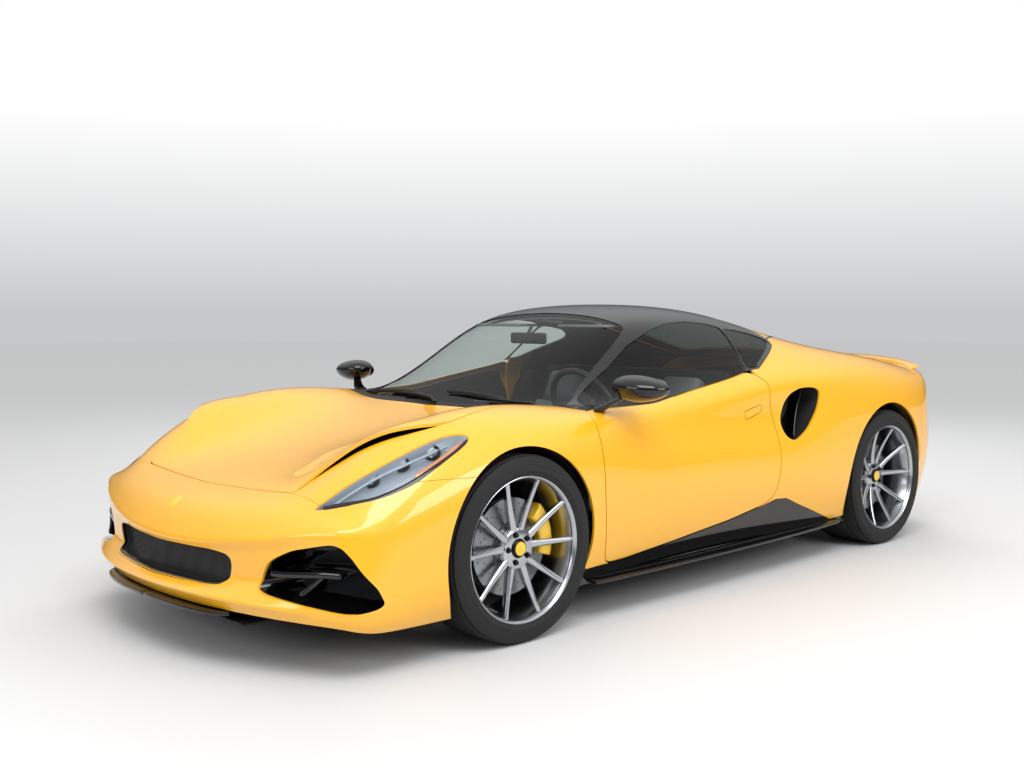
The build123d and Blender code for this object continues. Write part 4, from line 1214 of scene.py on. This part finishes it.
def build_headlamps():
    """Inner wall, three projectors in their bezels, light blade, amber side strip and lower seal."""
    # wall, bowl and blade share a pale lavender silver, partly painted reflection of the sky on the cover
    both("lamp_wall", duct(grown(HEADLAMP, -1), ABOVE, 52, 0.9, 5), "lamp_silver_sky_sheen")
    lenses, bezels = [], []
    for x, y, radius in ((798, -1530, 30), (770, -1640, 29), (742, -1745, 26)):
        spot = cast_along((x, y), ABOVE, 34)
        facing = Vector((0.25, -0.8, 0.55)).to_track_quat("X", "Z").to_matrix().to_4x4()
        aim = move_by(*spot) @ turn_by(-8, "X") @ facing
        lens = [(-10, 0), (-10, radius * 0.8), (0, radius * 0.78), (7, radius * 0.55), (10, 0)]
        lenses.append(moved(spun(lens, 40, closed=False), aim))
        bezel = [(-12, radius), (2, radius), (6, radius * 0.92), (0, radius * 0.82), (-12, radius * 0.8)]
        bezels.append(moved(spun(bezel, 40), aim))
    both("lamp_lens", smooth(joined(lenses)), "bright_metal")
    both("lamp_bezel", smooth(joined(bezels)), "black_plastic")
    blade = fine([(716, -1885), (742, -1805), (772, -1715), (796, -1640), (812, -1560), (820, -1480)])
    both("light_blade", band(blade, ABOVE, 9, 6, 16), "lamp_silver_sky_sheen")
    amber = fine([(838, -1424), (850, -1490), (855, -1570), (851, -1640)])
    both("side_marker", band(amber, ABOVE, 15, 5, 9), "amber_lens")
    seal = fine([(845, -1405), (862, -1480), (866, -1570), (862, -1650), (850, -1716), (826, -1784),
                 (794, -1830), (750, -1872), (704, -1912)])
    both("lamp_seal", band(seal, ABOVE, 13, 3, 3), "black_paint")


def build_wipers():
    """Two wipers at rest along the foot of the windscreen, each an arm over its blade."""
    bars = []
    for x0, y0, x1, y1 in ((585, -806, 40, -826), (30, -880, -500, -790)):
        def over(share, behind, lift):
            return cast_along((x0 + (x1 - x0) * share, y0 + (y1 - y0) * share + behind), ABOVE, -lift)
        arm = [over(share, 0, lift) for share, lift in ((0, 6), (0.06, 22), (0.3, 20), (0.52, 14))]
        bars.append(tube([arm], [9, 8, 6, 5], 10, 0.7))
        blade = [over(share, 12, 9) for share in (0.06, 0.2, 0.35, 0.5, 0.65, 0.8, 1.0)]
        bars.append(tube([blade], [5, 6, 7, 8, 7, 6, 4], 8, 1.5))
    place_piece("wipers", smooth(joined(bars)), "black_plastic")


def build_nose_disc():
    """Bare disc on the nose, laid on the surface where a maker would put a sign."""
    low, high = (cast_along((0, z), AHEAD) for z in (488, 524))
    facing = (high - low).cross(Vector((-1, 0, 0))).to_track_quat("Z", "Y").to_matrix().to_4x4()
    disc = moved(ball((0, 0, 0), (36, 30, 5)), move_by(*(low + high) / 2) @ facing)
    place_piece("nose_badge", disc, "yellow_caliper")


def build_front():
    build_nose()
    build_headlamps()
    build_wipers()
    build_nose_disc()


# ---------------------------------------------------------------- sides
def build_mirror():
    """Door mirror: a pod cut flat behind, its glass and a flat arm to the door."""
    bm = bmesh.new()
    verts = bmesh.ops.create_uvsphere(bm, u_segments=48, v_segments=24, radius=1)["verts"]
    for vert in verts:
        x, y, z = vert.co
        tall = 52 * (1 - 0.16 * x) * (1 - 0.1 * z)
        vert.co = Vector((948 + 114 * x, -585 + 92 * y - 16 * (1 - x), 896 + tall * z - 6 * x)) * MM
    geom = bm.verts[:] + bm.edges[:] + bm.faces[:]
    cut = bmesh.ops.bisect_plane(bm, geom=geom, plane_co=Vector((950, -548, 896)) * MM, plane_no=(0.12, 1, 0),
                                 clear_outer=True)["geom_cut"]
    bmesh.ops.contextual_create(bm, geom=only(bmesh.types.BMEdge, cut))
    bmesh.ops.recalc_face_normals(bm, faces=bm.faces)
    pod = smooth(rounded(make_object(bm), 4, 3))
    both("mirror_head", pod, "black_paint", "door_{}", ["mirror_{}"])
    both("mirror_glass", ball((948, -547, 893), (94, 3.5, 40)), "bright_metal", "door_{}")
    arm = [(788, -676, 800), (826, -664, 820), (866, -642, 846), (905, -612, 866)]
    both("mirror_arm", tube([arm], [34, 24, 18, 18], 16, 0.5), "black_paint", "door_{}")


def build_arch_linings():
    """Liner over each tyre, and the wall that closes the arch towards the middle of the car."""
    for axle, radius in ARCHES.items():
        y, z = AXLES[axle]
        profile = [(500, radius + 3), (880, radius + 3), (880, radius + 6), (500, radius + 6)]
        liner = moved(arc_of(profile, -112, 224, 56), move_by(0, y, z))
        both(f"arch_liner_{axle}", smooth(liner), "black_composite")
        ring = [(at_y, max(z - 150, at_z)) for at_y, at_z in circle(72, radius + 4, y, z)]
        both(f"arch_wall_{axle}", smooth(side_view(ring, 496, 501)), "black_composite")


def build_sides():
    """Mirrors, air intakes, skirt blades, door handles, trim behind the glass and arch linings."""
    build_mirror()
    both("intake_duct", duct(grown(INTAKE, 3), BESIDE, 150, 0.82), "black_plastic")
    vane = fine([(560, 600), (590, 690), (628, 790), (640, 834)])
    both("intake_vane", band(vane, BESIDE, 7, 60, 16), "black_paint")
    blade = fine([(906, -808, 152), (914, -400, 150), (916, 200, 152), (910, 700, 156), (902, 985, 162)])
    inner = [p + Vector((-70, 0, 6)) for p in blade]
    both("skirt_blade", strip(blade, inner, 15), "black_paint")
    handle = softened([(196, 748), (320, 774), (324, 741), (205, 708)], 7)
    both("door_handle_gap", band([*handle, handle[0]], BESIDE, 2.4, 1.2, -0.4), "dark_steel_and_hole_shade", "door_{}")
    trim = [(672, 1056), (730, 1063), (790, 1065), (850, 1064)]
    both("buttress_trim", band(trim, BESIDE, 6, 3, 0), "black_paint")
    build_arch_linings()


# ---------------------------------------------------------------- rear
def build_tail():
    """Mesh panel with the two lamps, the bar between them and the blank plate."""
    place_piece("tail_panel", duct(grown(REAR_PANEL, 4), BEHIND, 46, 0.97), "mesh")
    lamp = fine([(250, 806), (450, 803), (620, 796), (745, 786), (792, 776)])
    both("tail_lamp", band(lamp, BEHIND, 26, 22, 8), "red_lens", "shell", ["tail_lamps"])
    lower = fine([(420, 770), (560, 766), (700, 760), (780, 754)])
    both("tail_lamp_low", band(lower, BEHIND, 9, 16, 12), "red_lens")
    bar = fine([(-252, 806), (0, 808), (252, 806)])
    place_piece("tail_bar", band(bar, BEHIND, 16, 14, 10), "black_paint")
    place_piece("tail_plate", boxes([((-262, 2204, 520), (262, 2212, 632))], 2), "lamp_silver_sky_sheen")
    place_piece("plate_panel", boxes([((-300, 2196, 500), (300, 2206, 655))], 5), "black_plastic")


def build_diffuser():
    """Its sloping roof and fins, the fog lamp and twin exhaust tips on each side."""
    slope = ((1770, 150), (1960, 235), (2120, 345), (2165, 385))
    roof = strip([(-655, y, z) for y, z in slope], [(655, y, z) for y, z in slope], 8)
    place_piece("diffuser_roof", roof, "black_plastic", nodes=["diffuser"])
    fin = [(1790, 146), (2168, 150), (2180, 190), (2170, 372), (1960, 232)]
    fins = [side_view(fin, x - 4, x + 4) for x in (-390, -215, -75, 75, 215, 390)]
    place_piece("diffuser_fins", smooth(joined(fins)), "black_plastic")
    place_piece("rear_fog_lamp", boxes([((-55, 2172, 300), (55, 2186, 335))], 5), "red_lens")
    pipe = [(-60, 46), (52, 50), (58, 52), (60, 49), (56, 46), (-60, 42)]
    core = [(-20, 0), (-20, 44)]
    backwards = turn_by(90, "Z")
    for name, profile, finish in (("exhaust_tip", pipe, "steel"),
                                  ("exhaust_tip_core", core, "black_composite")):
        tips = [moved(spun(profile, 48, closed=profile is pipe), move_by(x, 2130, 300) @ backwards)
                for x in (468, 572)]
        both(name, smooth(joined(tips)), finish)


def build_rear():
    """Tail, diffuser and the painted lip along the tail's upper edge."""
    build_tail()
    build_diffuser()
    lip = fine([(0, 2188, 938), (350, 2162, 933), (560, 2108, 921), (700, 2048, 903), (776, 1994, 884)])
    front = [p + Vector((-p.x * 0.02, -70, -10)) for p in lip]
    both("tail_lip", strip(lip, front, 9), "yellow_paint")


# ---------------------------------------------------------------- cabin
SEAT_X = 385                                # middle of the left seat
SEAT_PADS = {
    # pad: low corner, high corner, and whether it leans with the backrest or tilts with the base
    "base": ((215, -350, 250), (555, 120, 330), "base"),
    "bolster_in": ((165, -330, 275), (222, 110, 375), "base"),
    "bolster_out": ((548, -330, 275), (605, 110, 375), "base"),
    "back": ((222, 118, 330), (548, 208, 760), "back"),
    "wing_in": ((172, 96, 360), (228, 200, 720), "back"),
    "wing_out": ((542, 96, 360), (598, 200, 720), "back"),
    "head": ((275, 126, 770), (495, 205, 925), "back"),
}
GREY_PADS = ("base", "back", "head")
MOST_SWELL = 0.014                          # how far in metres a cushion's skin may rise


def leaned(pivot_y, degrees):
    """Matrix of a seat's lean round a line across it, at the height of its hinge."""
    return move_by(SEAT_X, pivot_y, 300) @ turn_by(degrees, "X") @ move_by(-SEAT_X, -pivot_y, -300)


def cushion(low, high):
    """Stuffed pad: a rounded block that a short cloth run blows up."""
    pad = boxes([(low, high)], 16, 3)
    mod = pad.modifiers.new("remesh", "REMESH")
    mod.mode, mod.voxel_size = "VOXEL", 0.014
    bake(pad)
    before = [v.co.copy() for v in pad.data.vertices]
    mod = pad.modifiers.new("cloth", "CLOTH")
    mod.settings.use_pressure = True
    mod.settings.uniform_pressure_force = 4
    mod.settings.effector_weights.gravity = 0
    mod.settings.quality = 3
    scene = bpy.context.scene
    for frame_number in range(1, 11):
        scene.frame_set(frame_number)
    bake(pad)
    for vert, old in zip(pad.data.vertices, before):
        step = vert.co - old
        if step.length > MOST_SWELL:
            vert.co = old + step.normalized() * MOST_SWELL
    scene.frame_set(1)
    return smooth(subdivided(pad, 1), 60)


def build_seats():
    """Two bucket seats: padded pieces in a shell and a hard back."""
    leans = {"base": leaned(-100, -8), "back": leaned(130, -22)}
    for part, (low, high, carrier) in SEAT_PADS.items():
        pad = moved(cushion(low, high), leans[carrier])
        nodes = ["seat_{}"] if part == "base" else ()
        finish = "grey_leather" if part in GREY_PADS else "seat_leather"
        for piece in both(f"seat_{part}", pad, finish, "shell", nodes):
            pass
    both("seat_shell", boxes([((190, -300, 215), (580, 140, 262))], 14), "black_plastic")
    back = boxes([((195, 196, 330), (575, 228, 930))], 14)
    both("seat_rear", moved(back, leans["back"]), "black_plastic")


def build_dash():
    """Dashboard with its hood, gauges, screen and vents, and the console with its lever."""
    section = softened([(-826, 500), (-560, 470), (-520, 560), (-535, 640), (-560, 706), (-640, 740),
                        (-760, 752), (-826, 748)], 40)
    top = smooth(rounded(side_view(section, -690, 690), 10, 2))
    place_piece("dash_top", top, "seat_leather", nodes=["dashboard"])
    vents = [((x, -524, 592), (x + 100, -510, 632)) for x in (-655, -240, 140, 555)]
    console = [((-110, -600, 345), (110, 300, 470)), ((-90, -560, 460), (90, -250, 545))]
    for name, rows, finish, bevel, segments in (
            ("dash_band", [((-672, -532, 590), (672, -516, 634))], "grey_leather", 6, 2),
            ("dash_hood", [((235, -640, 700), (535, -500, 775))], "seat_leather", 26, 4),
            ("dash_gauges", [((255, -506, 672), (515, -494, 758))], "screen_glass", 5, 2),
            ("dash_screen", [((-130, -520, 655), (130, -504, 782))], "screen_glass", 6, 2),
            ("dash_vents", vents, "black_plastic", 5, 2),
            ("console", console, "seat_leather", 24, 4),
            ("console_trim", [((-62, -300, 470), (62, 120, 478))], "black_paint", 3, 2)):
        place_piece(name, boxes(rows, bevel, segments), finish)
    place_piece("shifter", tube([[(0, -180, 470), (0, -175, 540), (0, -172, 575)]], [9, 12, 24]), "steel")


def build_door_trim():
    """Armrest and pocket of each door, seated in the door card."""
    edge = min(cast_along((y, z), BESIDE).x for y in (-420, 190) for z in (330, 605))
    out = edge - 50
    rows = [((690, -330, 560), (out, 190, 605)), ((out - 60, -420, 330), (out, 120, 430))]
    both("door_armrest", boxes(rows, 16, 3), "grey_leather", "door_{}")


def build_steering():
    """Steering wheel with its spokes and pad, and the column that stays in the car."""
    aim = move_by(SEAT_X, -320, 770) @ turn_by(24, "X") @ turn_by(90, "Z")
    rim = spun([(15 * across, 176 + 14 * up) for across, up in circle(14, 1.0)], 72)
    place_piece("steering_rim", moved(smooth(rim), aim), "seat_leather", "steering_wheel",
                ["steering_wheel"])
    bm = bmesh.new()
    for degrees in (90, -90, 180):
        box_mesh(bm, (-7, -16, 30), (7, 16, 170), 4, matrix=turn_by(degrees, "X"))
    pad = spun([(-22, 0), (-22, 52), (-10, 66), (12, 66), (22, 50), (24, 0)], 48, closed=False)
    spokes = smooth(joined([make_object(bm), pad]))
    place_piece("steering_spokes", moved(spokes, aim), "black_plastic", "steering_wheel")
    column = smooth(spun([(-230, 0), (-230, 34), (-22, 34), (-22, 0)], 32, closed=False))
    place_piece("steering_column", moved(column, aim), "black_plastic")


def build_fittings():
    """Visors, inner mirror, carpet, bulkhead and shelf."""
    both("sun_visor", boxes([((140, -235, 1118), (430, -70, 1130))], 5), "grey_leather")
    place_piece("mirror_inside", boxes([((-115, -300, 1040), (115, -275, 1092))], 12, 3), "black_plastic")
    place_piece("mirror_stalk", tube([[(0, -290, 1085), (0, -262, 1128)]], 8), "black_plastic")
    place_piece("cabin_carpet", boxes([((-680, -820, 172), (680, 470, 178))], 1), "carpet")
    place_piece("rear_bulkhead", boxes([((-600, 440, 330), (600, 470, 900))], 14, 3), "carpet")
    place_piece("rear_shelf", boxes([((-520, 470, 880), (520, 600, 900))], 6), "black_plastic")


def build_engine_covers():
    """Plain covers over the engine, with a row of metal ribs."""
    covers = [((-260, 760, 722), (260, 1180, 760)), ((-300, 720, 700), (-150, 1200, 780)),
              ((150, 720, 700), (300, 1200, 780)), ((-90, 700, 750), (90, 1230, 800))]
    place_piece("engine_covers", boxes(covers, 16, 3), "black_plastic")
    ribs = [((x, 730, 800), (x + 12, 1200, 806)) for x in range(-70, 98, 28)]
    place_piece("engine_ribs", boxes(ribs, 2), "steel")


def build_cabin():
    build_seats()
    build_dash()
    build_steering()
    build_door_trim()
    build_fittings()
    build_engine_covers()


# ---------------------------------------------------------------- camera, floor and light
def fit_camera():
    """Camera at the height of the roof, off the car's front left corner."""
    cam = bpy.data.cameras.new("camera")
    cam.lens, cam.sensor_width = 39.82, 36.0
    obj = bpy.data.objects.new("camera", cam)
    obj.location = (3.7885, -3.9858, 1.192)
    obj.rotation_euler = (math.radians(90 - 3.683), 0, math.radians(46.52))
    bpy.context.scene.collection.objects.link(obj)
    bpy.context.scene.camera = obj


def make_floor():
    """Pale studio floor."""
    bm = bmesh.new()
    bmesh.ops.create_circle(bm, cap_ends=True, segments=96, radius=40)
    floor = make_object(bm)
    floor.name = "floor"
    material, tree = blank("floor_paint")
    shader = add(tree, "ShaderNodeBsdfPrincipled", {"Base Color": srgb("D6D6D6"), "Roughness": 0.6})
    add(tree, "ShaderNodeOutputMaterial", {"Surface": shader.outputs["BSDF"]})
    floor.data.materials.append(material)


def make_lamps():
    """Four soft boxes round the car. The one behind doesn't show as a highlight."""
    for name, place, aim, size, power in (
            ("key_light", (3.5, -3.0, 6.0), (0, -0.3, 0.5), (5.0, 3.0), 260),
            ("side_light", (6.5, 1.5, 3.2), (0, 0, 0.6), (4.5, 2.2), 150),
            ("rear_light", (-3.5, 4.5, 5.0), (0, 0, 0.6), (5.0, 2.5), 150),
            ("front_light", (0.5, -7.0, 2.6), (0, 0, 0.5), (4.0, 1.6), 70)):
        data = bpy.data.lights.new(name, "AREA")
        data.shape, data.size, data.size_y, data.energy = "RECTANGLE", size[0], size[1], power
        lamp = bpy.data.objects.new(name, data)
        lamp.location = place
        lamp.rotation_euler = (Vector(aim) - Vector(place)).to_track_quat("-Z", "Y").to_euler()
        bpy.context.scene.collection.objects.link(lamp)
        lamp.visible_glossy = name != "rear_light"


def make_sky():
    """Even sky that darkens towards the ground, seen itself as a paler wall."""
    world = bpy.data.worlds.new("studio")
    bpy.context.scene.world = world
    world.use_nodes = True
    tree = world.node_tree
    tree.nodes.clear()
    place = add(tree, "ShaderNodeTexCoord").outputs["Generated"]
    height = add(tree, "ShaderNodeSeparateXYZ", {0: place}).outputs["Z"]
    sky = colour_steps(tree, height, [(0.02, "3C4046"), (0.22, "8C9096"), (0.7, "FFFFFF")])
    path = add(tree, "ShaderNodeLightPath")
    camera_ray, through_ray = path.outputs["Is Camera Ray"], path.outputs["Is Transmission Ray"]
    seen = add(tree, "ShaderNodeMath", {0: camera_ray, 1: through_ray}, operation="MAXIMUM")
    wall = colour_steps(tree, height, [(0.0, "C6C8CA"), (0.16, "FFFFFF")])
    shade = add(tree, "ShaderNodeMix", {0: seen.outputs[0], 6: sky, 7: wall}, data_type="RGBA").outputs[2]
    light = add(tree, "ShaderNodeBackground", {"Color": shade, "Strength": 1.0})
    add(tree, "ShaderNodeOutputWorld", {"Surface": light.outputs[0]})


# ---------------------------------------------------------------- put together
CAST_NODES = ("suspension_arms", "rear_uprights", "knuckle_left", "knuckle_right", "engine")
DOOR_INSIDE = 882                           # half-width that keeps the tub's hinge arms behind the doors


def paint_nodes():
    """The solids that stay as they are take their finish; the tub is shown as a narrower copy."""
    for name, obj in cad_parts.items():
        dress(obj, "cast_alloy" if name in CAST_NODES else "black_plastic")
    inside = box_cutter((-DOOR_INSIDE, -2300, 0), (DOOR_INSIDE, 2300, 1400))
    tub = carved(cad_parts["tub"], [inside], solver="EXACT")
    place_piece("tub_trimmed", smooth(tub, 30), "black_composite", nodes=["tub"])


BODY = build_body()
for axle_name in WHEELS:
    build_wheel(axle_name)
build_front()
build_sides()
build_rear()
build_cabin()
paint_nodes()
fit_camera()
make_floor()
make_lamps()
make_sky()
bpy.context.scene.view_settings.view_transform = "Standard"
